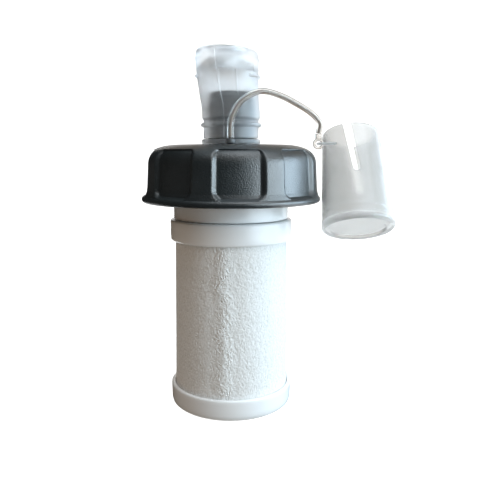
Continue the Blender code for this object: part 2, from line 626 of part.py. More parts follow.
def mouth_outline():
    """From the dished membrane over the rim, down the outside, and up the bore again."""
    top = MOUTH_BOTTOM + MOUTH_HEIGHT
    bead = MOUTH_BOTTOM + MOUTH_BEAD_CENTRE
    step = MOUTH_BEAD_RADIUS - MOUTH_NECK_RADIUS
    neck_top = MOUTH_BOTTOM + MOUTH_NECK_HEIGHT
    lip = top - MOUTH_LIP_BELOW_TOP
    rim = MOUTH_LIP_RADIUS - MOUTH_RIM_ROUND
    dish = top - MOUTH_DISH_DEPTH
    dish_radius = MOUTH_LIP_RADIUS - MOUTH_RIM_WIDTH
    chamber_top = dish - MOUTH_MEMBRANE
    outline = [(0.0, dish), (dish_radius - MOUTH_DISH_DEPTH, dish), (dish_radius, top - MOUTH_DISH_EDGE)]
    outline += arc(rim, top - MOUTH_RIM_ROUND, MOUTH_RIM_ROUND, 105.0, 15.0, 4)
    outline += [(MOUTH_LIP_RADIUS, lip), (MOUTH_BODY_RADIUS, lip - MOUTH_LIP_TAPER)]
    outline += [(MOUTH_BODY_RADIUS, neck_top + step), (MOUTH_NECK_RADIUS, neck_top)]
    outline += arc(MOUTH_BEAD_RADIUS - MOUTH_BEAD_HALF_HEIGHT, bead, MOUTH_BEAD_HALF_HEIGHT, 90.0, -90.0, 4)
    outline += [(MOUTH_NECK_RADIUS, bead - MOUTH_BEAD_HALF_HEIGHT), (MOUTH_NECK_RADIUS, MOUTH_BOTTOM)]
    outline += [(MOUTH_BORE_RADIUS, MOUTH_BOTTOM), (MOUTH_BORE_RADIUS, neck_top)]
    outline += [(MOUTH_CHAMBER_RADIUS, neck_top + step), (MOUTH_CHAMBER_RADIUS, lip - MOUTH_DOME_BELOW_LIP)]
    outline += [(dish_radius - MOUTH_DISH_DEPTH, chamber_top), (0.0, chamber_top)]
    return outline


def make_mouthpiece():
    """A soft sleeve with a domed, slit top. It leans a little to the left above its neck."""
    top = MOUTH_BOTTOM + MOUTH_HEIGHT
    mouth = baked(turned("mouthpiece", mouth_outline(), SPOUT_FACETS, ring=False))
    lug_height = top - LUG_BELOW_TOP
    taper = (MOUTH_LIP_RADIUS - MOUTH_BODY_RADIUS) / MOUTH_LIP_TAPER
    lug_radius = MOUTH_LIP_RADIUS - taper * (LUG_BELOW_TOP - MOUTH_LIP_BELOW_TOP)
    for index, direction in enumerate(LUG_DIRECTIONS):
        route = []
        for r, z in arc(0.0, 0.0, lug_radius, math.degrees(direction - 0.5 * LUG_ARC),
                        math.degrees(direction + 0.5 * LUG_ARC), 8):
            route.append((r, z, lug_height))
        boolean(mouth, baked(wire(f"mouth_lug_{index + 1}", route, LUG_SECTION)), "UNION")
    slit = bpy.data.meshes.new("bite_slit")
    blade = bmesh.new()
    size = Vector((MOUTH_SLIT_LENGTH, MOUTH_SLIT_WIDTH, 2.0 * (MOUTH_DISH_DEPTH + 2.0 * MOUTH_MEMBRANE)))
    place = Matrix.Translation((0.0, 0.0, top)) @ Matrix.Diagonal(size).to_4x4()
    bmesh.ops.create_cube(blade, size=1.0, matrix=place)
    blade.to_mesh(slit)
    blade.free()
    boolean(mouth, add_mesh("bite_slit", slit), "DIFFERENCE")
    mouth = baked(mouth)
    start = MOUTH_BOTTOM + MOUTH_LEAN_START
    for vertex in mouth.data.vertices:
        share = max(0.0, vertex.co.z - start) / (top - start)
        vertex.co.z -= MOUTH_RIM_SLOPE * share ** 2 * vertex.co.x
        vertex.co.x -= MOUTH_LEAN * share * (2.0 - share)
    mouth.data.materials.append(SILICONE)
    mouth.data.shade_smooth()
    mouth.data.set_sharp_from_angle(angle=math.radians(35.0))


def make_tether():
    pivot = bpy.data.objects.new("tether_swivel", None)
    PARTS.objects.link(pivot)
    pivot.location = (0.0, 0.0, SPOUT_SEAT)
    ring = turned("tether_ring",
                  tube_outline(TETHER_RING_RADIUS, TETHER_RING_BORE, 0.0, TETHER_RING_HEIGHT),
                  SPOUT_FACETS, CLEAR_TPU)
    in_ring = TETHER_RING_RADIUS - 0.5 * TETHER_RING_WALL
    tongue = [(TETHER_LUG_RADIUS, -in_ring), (-TETHER_LUG_RADIUS, -in_ring)]
    tongue += arc(0.0, -TETHER_LUG_OFFSET, TETHER_LUG_RADIUS, 180.0, 360.0, 8)
    lug = flat_plate("tether_ring_lug", tongue, TETHER_RING_HEIGHT)
    ring.parent = pivot
    lug.parent = pivot
    lug.location = (0.0, 0.0, 0.5 * TETHER_RING_HEIGHT)
    boolean(ring, lug, "UNION")

    start = Vector((0.0, -TETHER_LUG_OFFSET, SPOUT_SEAT + TETHER_RING_HEIGHT + SEAT_GAP))
    end = HANG_POINT + Vector((0.0, 0.0, EYE_NECK_HEIGHT + SEAT_GAP))
    route = [start, *(ROUTE_ORIGIN + Vector(point) * MM for point in CORD_ROUTE_MM), end]
    points, length = smooth_route(route, CORD_POINT_COUNT)
    cord = wire("tether_cord", [point - pivot.location for point in points], CORD_RADIUS, 2, CLEAR_TPU)
    cord.parent = pivot
    print(f"tether cord length {length / MM:.1f} mm")


def make_tether_eye(hang):
    """A small upright loop at the cord's end, facing front, with a neck that holds the cord."""
    loop = o_ring("tether_eye", EYE_RING_RADIUS, EYE_WIRE_RADIUS, 0.0, EYE_FACETS, CLEAR_TPU)
    loop.parent = hang
    loop.rotation_euler = (math.radians(90.0), 0.0, 0.0)
    neck = rod("tether_eye_neck", EYE_NECK_RADIUS, EYE_RING_RADIUS, EYE_NECK_HEIGHT, PIN_FACETS)
    neck.parent = hang
    boolean(loop, neck, "UNION")


def dust_outline():
    """The cap's own frame has the hang point at its origin. The outline runs from the floor inside."""
    base = DUST_BASE_HEIGHT
    rim = DUST_RIM_ABOVE_HANG
    floor = base + DUST_RECESS_DEPTH + DUST_FLOOR
    taper = (DUST_BASE_RADIUS - DUST_RIM_RADIUS) / DUST_LENGTH
    floor_radius = DUST_BASE_RADIUS - DUST_WALL - taper * (floor - base)
    outline = [(0.0, floor), (floor_radius, floor)]
    outline += [(DUST_RIM_RADIUS - DUST_WALL, rim), (DUST_RIM_RADIUS, rim)]
    outline += arc(DUST_BASE_RADIUS - DUST_EDGE, base + DUST_EDGE, DUST_EDGE, 0.0, -90.0, 3)
    outline += [(DUST_RECESS_RADIUS, base)]
    outline += [(DUST_RECESS_RADIUS - DUST_RECESS_DEPTH, base + DUST_RECESS_DEPTH)]
    outline += [(0.0, base + DUST_RECESS_DEPTH)]
    return outline


def slot_outline():
    """A slot from the rim, narrowing to a round end. X runs across it, and Y runs up the cap."""
    end_radius = 0.5 * DUST_SLOT_END_WIDTH
    end_centre = DUST_RIM_ABOVE_HANG - DUST_SLOT_LENGTH + end_radius
    half = 0.5 * DUST_SLOT_RIM_WIDTH
    past_rim = DUST_RIM_ABOVE_HANG + DUST_WALL
    return [(half, past_rim), (-half, past_rim), *arc(0.0, end_centre, end_radius, 180.0, 360.0, 6)]


def bail_route():
    """A wire lug: out of the cap's wall, straight through the loop at rest, and back into the wall."""
    taper = (DUST_BASE_RADIUS - DUST_RIM_RADIUS) / DUST_LENGTH
    route = []
    for side in (1.0, -1.0):
        y = side * BAIL_HALF_WIDTH
        in_cap = Matrix.Rotation(-DUST_TILT, 3, "X") @ Vector((0.0, y, 0.0))
        middle = DUST_RIM_RADIUS + taper * (DUST_RIM_ABOVE_HANG - in_cap.z) - 0.5 * DUST_WALL
        in_wall = DUST_AXIS_OFFSET - math.sqrt(middle ** 2 - (in_cap.y - DUST_SIDEWAYS) ** 2)
        corner = BAIL_WIRE_RADIUS
        arm = [(in_wall, y, 0.0), (corner, y, 0.0), (0.0, y - side * corner, 0.0)]
        route += arm if side > 0.0 else reversed(arm)
    return route


def make_dust_cap(hang):
    cap = turned("dust_cap", dust_outline(), DUST_FACETS, FROSTED_PP, ring=False)
    cap.parent = hang
    cap.rotation_euler = (DUST_TILT, 0.0, 0.0)
    cap.location = Matrix.Rotation(DUST_TILT, 3, "X") @ Vector((DUST_AXIS_OFFSET, DUST_SIDEWAYS, 0.0))
    slot = flat_plate("dust_slot", slot_outline(), 3.0 * DUST_BASE_RADIUS)
    slot.parent = cap
    upright = Matrix.Rotation(math.radians(90.0), 4, "X")
    lean = Matrix.Rotation(DUST_SLOT_LEAN, 4, "Y")
    slot.data.transform(Matrix.Rotation(DUST_SLOT_TURN, 4, "Z") @ lean @ upright)
    boolean(cap, slot, "DIFFERENCE")
    bail = baked(wire("dust_bail", bail_route(), BAIL_WIRE_RADIUS))
    bail.parent = hang
    boolean(cap, bail, "UNION")


def make_hanging_pieces():
    hang = bpy.data.objects.new("dust_cap_hang", None)
    PARTS.objects.link(hang)
    hang.location = HANG_POINT
    make_tether_eye(hang)
    make_dust_cap(hang)


def main():
    make_lower_end_cap()
    make_upper_end_cap()
    make_filter_element()
    make_core_tube()
    make_outlet_collar()
    make_screw_cap()
    make_cap_seals()
    make_air_valve()
    make_spout_stem()
    make_mouthpiece()
    make_tether()
    make_hanging_pieces()


main()
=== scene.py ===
# %% [markdown]
# # A bottle-cap water filter
# The part is a wide-mouth bottle cap with a soft drinking spout on top and a filter cartridge below.
# A clear tether holds a frosted dust cap at its side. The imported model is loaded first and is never
# changed. Each visible piece is then built again with finer edges, in the same place and in metres.

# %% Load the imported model
import cmath
import math

import bmesh
import bpy
import numpy as np
from mathutils import Matrix, Vector


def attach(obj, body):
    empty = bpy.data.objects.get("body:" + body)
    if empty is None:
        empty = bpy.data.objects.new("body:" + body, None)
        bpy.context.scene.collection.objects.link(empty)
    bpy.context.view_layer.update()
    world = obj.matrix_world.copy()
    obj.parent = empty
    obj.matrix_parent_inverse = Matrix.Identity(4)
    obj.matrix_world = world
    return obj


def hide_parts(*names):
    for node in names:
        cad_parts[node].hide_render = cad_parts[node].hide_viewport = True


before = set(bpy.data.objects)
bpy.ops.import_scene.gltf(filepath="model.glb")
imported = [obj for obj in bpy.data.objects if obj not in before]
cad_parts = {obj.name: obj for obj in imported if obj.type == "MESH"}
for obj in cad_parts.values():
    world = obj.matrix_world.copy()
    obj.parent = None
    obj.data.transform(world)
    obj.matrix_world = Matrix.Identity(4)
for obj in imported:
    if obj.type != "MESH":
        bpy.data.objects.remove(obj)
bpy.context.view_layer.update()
MM = 0.001
print("nodes in the frame:", len(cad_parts))

# %% [markdown]
# ## Camera
# The photograph was taken from close by, at the height of the cap, which shows in how the circles there
# flatten to a line. The sleeve's sides stay parallel, so the camera was nearly level and the picture is
# a cut from a larger one: a small tilt and a small shift of the lens give the same framing.

# %% Camera at the photograph's place
CAMERA_PLACE_MM = (3.6, -236.0, 99.6)
LEVEL = math.radians(90.0)
CAMERA_TILT = math.radians(2.5)
LENS_MM = 43.5
LENS_SHIFT = -0.123
SENSOR_MM = 36.0
NEAREST_MM = 10.0

camera = bpy.data.objects.new("photo_camera", bpy.data.cameras.new("photo_camera"))
camera.data.lens = LENS_MM
camera.data.sensor_width = SENSOR_MM
camera.data.shift_y = LENS_SHIFT
camera.data.clip_start = NEAREST_MM * MM
camera.location = Vector(CAMERA_PLACE_MM) * MM
camera.rotation_euler = (LEVEL - CAMERA_TILT, 0.0, 0.0)
bpy.context.scene.collection.objects.link(camera)
bpy.context.scene.camera = camera
print("camera at", CAMERA_PLACE_MM, "mm")

# %% [markdown]
# ## Colours, nodes and materials
# Colours are picked as sRGB hex values, which a screen uses, and Blender works in linear light, so one
# function converts them. One more function adds a node with its settings and links, and a third starts
# a material from the constant values of its shader. Most of a noise pattern's values lie between 0.3 and
# 0.7, so a finish that follows a pattern is stretched over that range.

# %% Helpers for materials
NOISE_SPREAD = {"From Min": 0.3, "From Max": 0.7}


def linear(code):
    """An sRGB hex colour as linear red, green, blue and alpha."""
    channels = [int(code[i:i + 2], 16) / 255.0 for i in (1, 3, 5)]
    return [c / 12.92 if c <= 0.04045 else ((c + 0.055) / 1.055) ** 2.4 for c in channels] + [1.0]


def feed(tree, node, inputs):
    """Give a node its inputs. One that is a socket is linked, and any other is set as a value."""
    for name, value in inputs.items():
        if isinstance(value, bpy.types.NodeSocket):
            tree.links.new(value, node.inputs[name])
        else:
            node.inputs[name].default_value = value


def add(tree, kind, inputs, **settings):
    """Add one shader node with its settings and inputs."""
    node = tree.nodes.new("ShaderNode" + kind)
    for name, value in settings.items():
        setattr(node, name, value)
    feed(tree, node, inputs)
    return node


def start_material(title, **values):
    """A new material, its tree, its shader and the object's own coordinates in metres."""
    material = bpy.data.materials.new(title)
    material.use_nodes = True
    tree = material.node_tree
    shader = tree.nodes["Principled BSDF"]
    feed(tree, shader, {name.replace("_", " "): value for name, value in values.items()})
    place = add(tree, "TexCoord", {}).outputs["Object"]
    return material, tree, shader, place


def per_metre(size_mm):
    """A texture scale at which one blotch of the pattern is about this many millimetres wide."""
    return 1.0 / (size_mm * MM)


print("helpers ready")

# %% [markdown]
# ### Grey polypropylene, moulded in a spark-eroded tool
# The screw cap has the fine matt grain that spark erosion leaves in a mould. The real grain is about
# 0.15 mm wide, too fine for this picture, so it is drawn at 0.5 mm. The grain breaks up the window's
# reflection, and the skin has slightly shinier patches where hands have rubbed it.

# %% Grey polypropylene
GREY_CAP, tree, shader, place = start_material(
    "polypropylene_grey_spark_eroded", IOR=1.54, Specular_IOR_Level=1.0)
rubbed = add(tree, "TexNoise", {"Vector": place, "Scale": per_metre(9.0), "Detail": 4.0})
tone = add(tree, "Mix", {
    "Factor": rubbed.outputs["Fac"], "A": linear("#1f2628"), "B": linear("#293134")}, data_type="RGBA")
sheen = add(tree, "MapRange", {
    "Value": rubbed.outputs["Fac"], **NOISE_SPREAD, "To Min": 0.3, "To Max": 0.37})
grain = add(tree, "TexNoise", {"Vector": place, "Scale": per_metre(0.5), "Detail": 3.0})
relief = add(tree, "Bump", {"Height": grain.outputs["Fac"], "Strength": 0.8, "Distance": 0.18 * MM})
feed(tree, shader, {"Base Color": tone.outputs["Result"], "Roughness": sheen.outputs["Result"],
                    "Normal": relief.outputs["Normal"]})
print("made", GREY_CAP.name)

# %% [markdown]
# ### Stem polypropylene
# The tube inside the mouthpiece is the same plastic with a smoother skin, because nobody grips it. It is
# darker and duller than the cap, because what lies against it is silicone and not air.

# %% Stem polypropylene
GREY_STEM, tree, shader, place = start_material(
    "polypropylene_grey_smooth", IOR=1.49, Roughness=0.4, Specular_IOR_Level=0.1)
flow = add(tree, "TexNoise", {"Vector": place, "Scale": per_metre(5.0), "Detail": 3.0})
tone = add(tree, "Mix", {
    "Factor": flow.outputs["Fac"], "A": linear("#14181a"), "B": linear("#1f2426")}, data_type="RGBA")
relief = add(tree, "Bump", {"Height": flow.outputs["Fac"], "Strength": 0.15, "Distance": 0.3 * MM})
feed(tree, shader, {"Base Color": tone.outputs["Result"], "Normal": relief.outputs["Normal"]})
print("made", GREY_STEM.name)

# %% [markdown]
# ### White ABS, moulded and glossy
# The cartridge's collar and end caps are glossy white. A moulded skin is never quite flat: it sinks a
# little over a few millimetres, which makes the edges of the window's reflection wander.

# %% White ABS
WHITE_ABS, tree, shader, place = start_material(
    "abs_white_glossy_moulded", IOR=1.53, Specular_IOR_Level=0.35)
sink = add(tree, "TexNoise", {"Vector": place, "Scale": per_metre(7.0), "Detail": 2.0})
tone = add(tree, "Mix", {
    "Factor": sink.outputs["Fac"], "A": linear("#f8f9fa"), "B": linear("#fefefe")}, data_type="RGBA")
sheen = add(tree, "MapRange", {"Value": sink.outputs["Fac"], **NOISE_SPREAD, "To Min": 0.18, "To Max": 0.25})
relief = add(tree, "Bump", {"Height": sink.outputs["Fac"], "Strength": 0.1, "Distance": 0.12 * MM})
feed(tree, shader, {"Base Color": tone.outputs["Result"], "Roughness": sheen.outputs["Result"],
                    "Normal": relief.outputs["Normal"]})
print("made", WHITE_ABS.name)

# %% [markdown]
# ### Non-woven polyester fibre
# The sleeve is a felt of white fibres pressed and bonded together. The larger fibres are real ridges
# in its mesh. This material adds the fine ones, as noise stretched along them, with painted shade in the
# gaps between them, and the soft sheen of fibre ends. Real fibres are about 0.02 mm thick, so these are
# bundles of them.

# %% Non-woven fibre
FELT, tree, shader, place = start_material("polyester_fibre_bonded_felt", Roughness=0.95, Sheen_Weight=0.25,
                                           Sheen_Roughness=0.5, Specular_IOR_Level=0.1)
along = add(tree, "Mapping", {"Vector": place, "Rotation": (0.2, 0.6, 0.0), "Scale": (1.0, 1.0, 0.4)})
strands = add(tree, "TexNoise", {"Vector": along.outputs["Vector"], "Scale": per_metre(0.42),
                                 "Detail": 5.0, "Roughness": 0.65, "Distortion": 0.6})
# Painted shade: the gaps between the fine fibres get a darker colour.
gap_shade = add(tree, "MapRange", {"Value": strands.outputs["Fac"], "From Min": 0.35, "From Max": 0.6})
tone = add(tree, "Mix", {
    "Factor": gap_shade.outputs["Result"], "A": linear("#e4e3e0"), "B": linear("#f8f8f7")}, data_type="RGBA")
relief = add(tree, "Bump", {"Height": strands.outputs["Fac"], "Strength": 0.5, "Distance": 0.16 * MM})
feed(tree, shader, {"Base Color": tone.outputs["Result"], "Normal": relief.outputs["Normal"]})
print("made", FELT.name)

# %% [markdown]
# ### Milky silicone
# The mouthpiece lets light through but blurs it: the grey stem inside shows as a soft dark shape. Most
# of the light goes through a rough surface and the rest scatters white, and cloudy patches from moulding
# make it a little uneven. Its shine is weak: silicone reflects less light than hard plastics do.

# %% Milky silicone
SILICONE, tree, shader, place = start_material(
    "silicone_milky_moulded", IOR=1.41, Transmission_Weight=0.9, Specular_IOR_Level=0.25)
cloud = add(tree, "TexNoise", {"Vector": place, "Scale": per_metre(6.0), "Detail": 3.0})
tone = add(tree, "Mix", {
    "Factor": cloud.outputs["Fac"], "A": linear("#e8eef2"), "B": linear("#f4f7fa")}, data_type="RGBA")
sheen = add(tree, "MapRange", {"Value": cloud.outputs["Fac"], **NOISE_SPREAD, "To Min": 0.3, "To Max": 0.4})
feed(tree, shader, {"Base Color": tone.outputs["Result"], "Roughness": sheen.outputs["Result"]})
print("made", SILICONE.name)

# %% [markdown]
# ### Clear polyurethane
# The tether is a clear cord. Its thin grey-brown core is painted shade: it stands for the darker
# surroundings seen through the clear cord. The clear sheath works as a lens: it shows the core half as
# wide again as it is, between two white edges.

# %% Clear polyurethane
CLEAR, tree, shader, place = start_material("polyurethane_clear_extruded", IOR=1.5, Transmission_Weight=1.0)
draw_marks = add(tree, "TexNoise", {"Vector": place, "Scale": per_metre(3.0), "Detail": 3.0})
tone = add(tree, "Mix", {
    "Factor": draw_marks.outputs["Fac"], "A": linear("#c6c3bf"), "B": linear("#dad8d4")}, data_type="RGBA")
sheen = add(tree, "MapRange", {
    "Value": draw_marks.outputs["Fac"], **NOISE_SPREAD, "To Min": 0.03, "To Max": 0.09})
feed(tree, shader, {"Base Color": tone.outputs["Result"], "Roughness": sheen.outputs["Result"]})

# Painted shade: this core stands for the darker surroundings seen through the clear cord.
PAINTED_CORE, tree, shader, place = start_material("painted_see_through_shade_grey_brown", Roughness=0.7)
painted_core_mottle = add(tree, "TexNoise", {"Vector": place, "Scale": per_metre(0.6), "Detail": 3.0})
tone = add(tree, "Mix", {
    "Factor": painted_core_mottle.outputs["Fac"], "A": linear("#a39b95"), "B": linear("#bcb6b0")}, data_type="RGBA")
feed(tree, shader, {"Base Color": tone.outputs["Result"]})
print("made", CLEAR.name, "and", PAINTED_CORE.name)

# %% [markdown]
# ### Frosted polypropylene
# The dust cap is natural polypropylene with a fine matt texture on both sides. It passes light, and
# only the edges of its far wall show through it. The grain is too fine for this picture, so it is drawn
# at 0.4 mm, and very low.

# %% Frosted polypropylene
FROSTED, tree, shader, place = start_material(
    "polypropylene_natural_frosted", IOR=1.49, Transmission_Weight=0.76, Specular_IOR_Level=0.2)
haze = add(tree, "TexNoise", {"Vector": place, "Scale": per_metre(8.0), "Detail": 3.0})
tone = add(tree, "Mix", {
    "Factor": haze.outputs["Fac"], "A": linear("#e0e1e0"), "B": linear("#ebebea")}, data_type="RGBA")
sheen = add(tree, "MapRange", {"Value": haze.outputs["Fac"], **NOISE_SPREAD, "To Min": 0.2, "To Max": 0.26})
grain = add(tree, "TexNoise", {"Vector": place, "Scale": per_metre(0.4), "Detail": 2.0})
relief = add(tree, "Bump", {"Height": grain.outputs["Fac"], "Strength": 0.02, "Distance": 0.1 * MM})
feed(tree, shader, {"Base Color": tone.outputs["Result"], "Roughness": sheen.outputs["Result"],
                    "Normal": relief.outputs["Normal"]})
print("made", FROSTED.name)

# %% [markdown]
# ### Seal rubber and carbon
# The gaskets and O-rings are black rubber with a dull skin. The block inside the cartridge is sintered
# carbon, whose grains of about 0.5 mm can be seen on a cut end.

# %% Seal rubber and carbon block
SEAL, tree, shader, place = start_material("rubber_black_moulded", IOR=1.52)
bloom = add(tree, "TexNoise", {"Vector": place, "Scale": per_metre(2.5), "Detail": 4.0})
tone = add(tree, "Mix", {
    "Factor": bloom.outputs["Fac"], "A": linear("#1b1c1d"), "B": linear("#2b2d2e")}, data_type="RGBA")
sheen = add(tree, "MapRange", {"Value": bloom.outputs["Fac"], "To Min": 0.45, "To Max": 0.7})
feed(tree, shader, {"Base Color": tone.outputs["Result"], "Roughness": sheen.outputs["Result"]})

CARBON, tree, shader, place = start_material("carbon_sintered_block", Roughness=0.9)
grains = add(tree, "TexVoronoi", {"Vector": place, "Scale": per_metre(0.5)})
tone = add(tree, "Mix", {
    "Factor": grains.outputs["Distance"], "A": linear("#2a2a2a"), "B": linear("#121212")}, data_type="RGBA")
relief = add(tree, "Bump", {"Height": grains.outputs["Distance"], "Strength": 0.6, "Distance": 0.3 * MM})
feed(tree, shader, {"Base Color": tone.outputs["Result"], "Normal": relief.outputs["Normal"]})
print("made", SEAL.name, "and", CARBON.name)

# %% [markdown]
# ## Tubes, and pieces that ride
# The tether's cord and the dust cap's bail are round rods bent along a line. A curve with a bevel could
# make them too, but a mesh built ring by ring can hold a core of another material, such as the cord's
# painted core of shade. Every piece rides on a body of the imported model, so that it moves with its
# joint, and dress() names the solid it stands for.

# %% Tubes and dressing
TUBE_SIDES = 24
TUBE_EDGE = math.radians(50.0)


def smooth_line(points, steps):
    """Points on a smooth curve that passes through each of the given points."""
    padded = [2 * points[0] - points[1], *points, 2 * points[-1] - points[-2]]
    line = []
    for a, b, c, d in zip(padded, padded[1:], padded[2:], padded[3:]):
        for t in np.arange(steps) / steps:
            line.append(0.5 * (2 * b + (c - a) * t + (2 * a - 5 * b + 4 * c - d) * t ** 2
                               + (3 * b - a - 3 * c + d) * t ** 3))
    return line + [points[-1]]


def tube_mesh(points, radius, sides):
    """Corners and faces of a round tube along the points, with closed ends."""
    ahead = [(b - a).normalized() for a, b in zip(points, points[1:])]
    across = ahead[0].orthogonal().normalized()
    corners = []
    for index, point in enumerate(points):
        along = ahead[max(index - 1, 0)] + ahead[min(index, len(ahead) - 1)]
        along.normalize()
        across = (across - along * across.dot(along)).normalized()
        beside = along.cross(across)
        corners += [point + radius * (math.cos(turn) * across + math.sin(turn) * beside)
                    for turn in np.arange(sides) * math.tau / sides]
    faces = [tuple(range(sides))[::-1], tuple(range(len(corners) - sides, len(corners)))]
    for ring in range(len(points) - 1):
        for side in range(sides):
            low, next_low = ring * sides + side, ring * sides + (side + 1) % sides
            faces.append((low, next_low, next_low + sides, low + sides))
    return corners, faces


def tube(name, points, layers):
    """One piece of tubes along the same points. Each layer is a radius and a material."""
    mesh = bpy.data.meshes.new(name)
    corners, faces, finishes = [], [], []
    for index, (radius, material) in enumerate(layers):
        layer_corners, layer_faces = tube_mesh(points, radius, TUBE_SIDES)
        faces += [tuple(corner + len(corners) for corner in face) for face in layer_faces]
        finishes += [index] * len(layer_faces)
        corners += layer_corners
        mesh.materials.append(material)
    mesh.from_pydata(corners, [], faces)
    mesh.polygons.foreach_set("material_index", finishes)
    mesh.shade_smooth()
    mesh.set_sharp_from_angle(angle=TUBE_EDGE)
    piece = bpy.data.objects.new(name, mesh)
    bpy.context.scene.collection.objects.link(piece)
    return piece


def dress(piece, body, node):
    """Let a piece ride on a body in place of its solid, which is hidden."""
    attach(piece, body)
    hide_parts(node)
    print("dressed", node, "with", piece.name)
    return piece


print("tube tools ready")

# %% [markdown]
# ## The tether cord
# The cord is seen from end to end, so its length is what the photograph shows, about 58 mm. It stands
# straight out of the ring at the foot of the spout, bends over to the right in one loose arc, and ends
# in a small loop. It is a round tube swept along its own centre line, with a painted core of shade inside
# that stands for the darker surroundings seen through the clear cord.

# %% Tether cord
CORD_START_MM = (0.0, -13.9, 106.5)
CORD_BENDS_MM = ((0.0, -13.9, 111.0), (0.5, -14.1, 114.2), (2.1, -14.2, 117.8), (4.9, -13.8, 121.2),
                 (10.6, -12.1, 124.2), (15.6, -10.4, 124.0), (21.3, -8.0, 122.2), (26.0, -5.9, 120.0),
                 (30.4, -3.8, 117.7), (33.7, -2.2, 115.3), (35.9, -1.0, 112.4))
CORD_END_MM = (35.4, -0.2, 108.7)
CORD_RADIUS = 1.25 * MM
# Radius of the painted core of shade inside the clear cord.
PAINTED_CORE_RADIUS = 0.36 * MM
CORD_STEPS = 3

cord_points = [Vector(point) * MM for point in (CORD_START_MM, *CORD_BENDS_MM, CORD_END_MM)]
cord_line = smooth_line(cord_points, CORD_STEPS)
# The inner layer is painted shade, for the darker surroundings seen through the clear cord.
cord_layers = ((CORD_RADIUS, CLEAR), (PAINTED_CORE_RADIUS, PAINTED_CORE))
cord = dress(tube("clear_cord", cord_line, cord_layers), "tether", "tether_cord")

# %% [markdown]
# ## Turned shapes
# Nearly every piece here is round, and most were moulded in tools turned on a lathe. So an outline is
# drawn once, its corners are rounded, and it is swept round the axis as a grid of points. Keeping the
# grid as numbers, before it becomes a mesh, lets a later step press pockets or raise ridges in it.

# %% Outlines and grids
LEAST_ARC_STEPS = 3


def rounded(corners, spacing):
    """An outline in mm through (radius, height, rounding) corners. Long runs get points at the spacing."""
    points = []
    for index, (radius, height, rounding) in enumerate(corners):
        corner = complex(radius, height)
        if rounding == 0.0:
            points.append(corner)
            continue
        back = complex(*corners[index - 1][:2]) - corner
        on = complex(*corners[(index + 1) % len(corners)][:2]) - corner
        back, on = back / abs(back), on / abs(on)
        half = 0.5 * abs(cmath.phase(on / back))
        centre = corner + (back + on) / abs(back + on) * rounding / math.sin(half)
        start = corner + back * rounding / math.tan(half) - centre
        sweep = cmath.phase((corner + on * rounding / math.tan(half) - centre) / start)
        steps = max(LEAST_ARC_STEPS, math.ceil(abs(sweep) * rounding / spacing))
        points += [centre + start * cmath.rect(1.0, sweep * step / steps) for step in range(steps + 1)]
    outline = []
    for here, there in zip(points, points[1:] + points[:1]):
        cuts = max(1, round(abs(there - here) / spacing))
        outline += [here + (there - here) * cut / cuts for cut in range(cuts)]
    return np.array([(point.real, point.imag) for point in outline])


def even_turn(columns):
    """Directions spread evenly round the axis, from the front."""
    return np.arange(columns) * math.tau / columns


def revolve(outline, directions):
    """A grid of points in mm. Direction zero is the front, and directions grow towards the right."""
    radius = outline[:, :1]
    height = np.repeat(outline[:, 1:], len(directions), axis=1)
    return np.stack([radius * np.sin(directions), -radius * np.cos(directions), height], axis=2)


print("outline tools ready")

# %% [markdown]
# ### Skins and cuts
# A grid becomes a mesh by joining each point to its neighbours. A boolean then adds or cuts what is not
# round. Faces are shaded smooth, and only edges sharper than 35 degrees stay sharp.

# %% Skins and cuts
SHARP_EDGE = math.radians(35.0)
MERGE_MM = 0.002


def finish_mesh(work, name, material):
    """Write a bmesh to a new smooth object."""
    bmesh.ops.recalc_face_normals(work, faces=work.faces)
    mesh = bpy.data.meshes.new(name)
    work.to_mesh(mesh)
    work.free()
    mesh.materials.append(material)
    mesh.shade_smooth()
    mesh.set_sharp_from_angle(angle=SHARP_EDGE)
    piece = bpy.data.objects.new(name, mesh)
    bpy.context.scene.collection.objects.link(piece)
    return piece


def skin(name, grid, material, place=Matrix.Identity(4)):
    """A closed mesh over a grid that wraps round both ways. Points that meet on the axis are merged."""
    rows, columns = grid.shape[:2]
    index = np.arange(rows * columns).reshape(rows, columns)
    beside = np.roll(index, -1, axis=1)
    faces = np.stack([index, beside, np.roll(beside, -1, axis=0), np.roll(index, -1, axis=0)], axis=2)
    raw = bpy.data.meshes.new(name)
    raw.from_pydata((grid.reshape(-1, 3) * MM).tolist(), [], faces.reshape(-1, 4).tolist())
    work = bmesh.new()
    work.from_mesh(raw)
    bpy.data.meshes.remove(raw)
    bmesh.ops.remove_doubles(work, verts=work.verts, dist=MERGE_MM * MM)
    work.transform(place)
    return finish_mesh(work, name, material)


def turned(name, corners, spacing, columns, material, place=Matrix.Identity(4)):
    """A plain turned piece."""
    return skin(name, revolve(rounded(corners, spacing), even_turn(columns)), material, place)


def combine(piece, other, operation):
    """Cut another object out of a piece, or join it on, and keep the piece smooth."""
    modifier = piece.modifiers.new("combine", "BOOLEAN")
    modifier.object = other
    modifier.operation = operation
    modifier.solver = "EXACT"
    result = bpy.data.meshes.new_from_object(piece.evaluated_get(bpy.context.evaluated_depsgraph_get()))
    piece.modifiers.clear()
    piece.data = result
    bpy.data.objects.remove(other)
    result.shade_smooth()
    result.set_sharp_from_angle(angle=SHARP_EDGE)


print("turning tools ready")

# %% [markdown]
# ## Cartridge shells
# The collar, the wider ring and the lower cup are glossy mouldings with small rounded edges. Those
# edges carry the bright lines that make white plastic readable on a white ground. Each is turned from
# an outline of (radius, height, rounding) corners, and the collar's nipple has a groove for each O-ring.

# %% Collar, upper ring and lower cup
SHELL_SPACING_MM = 1.5
SHELL_COLUMNS = 160
NIPPLE_RADIUS_MM = 8.6
GROOVE_RADIUS_MM = 6.95
GROOVE_WIDTH_MM = 2.2
GROOVE_TOPS_MM = (95.6, 91.0)


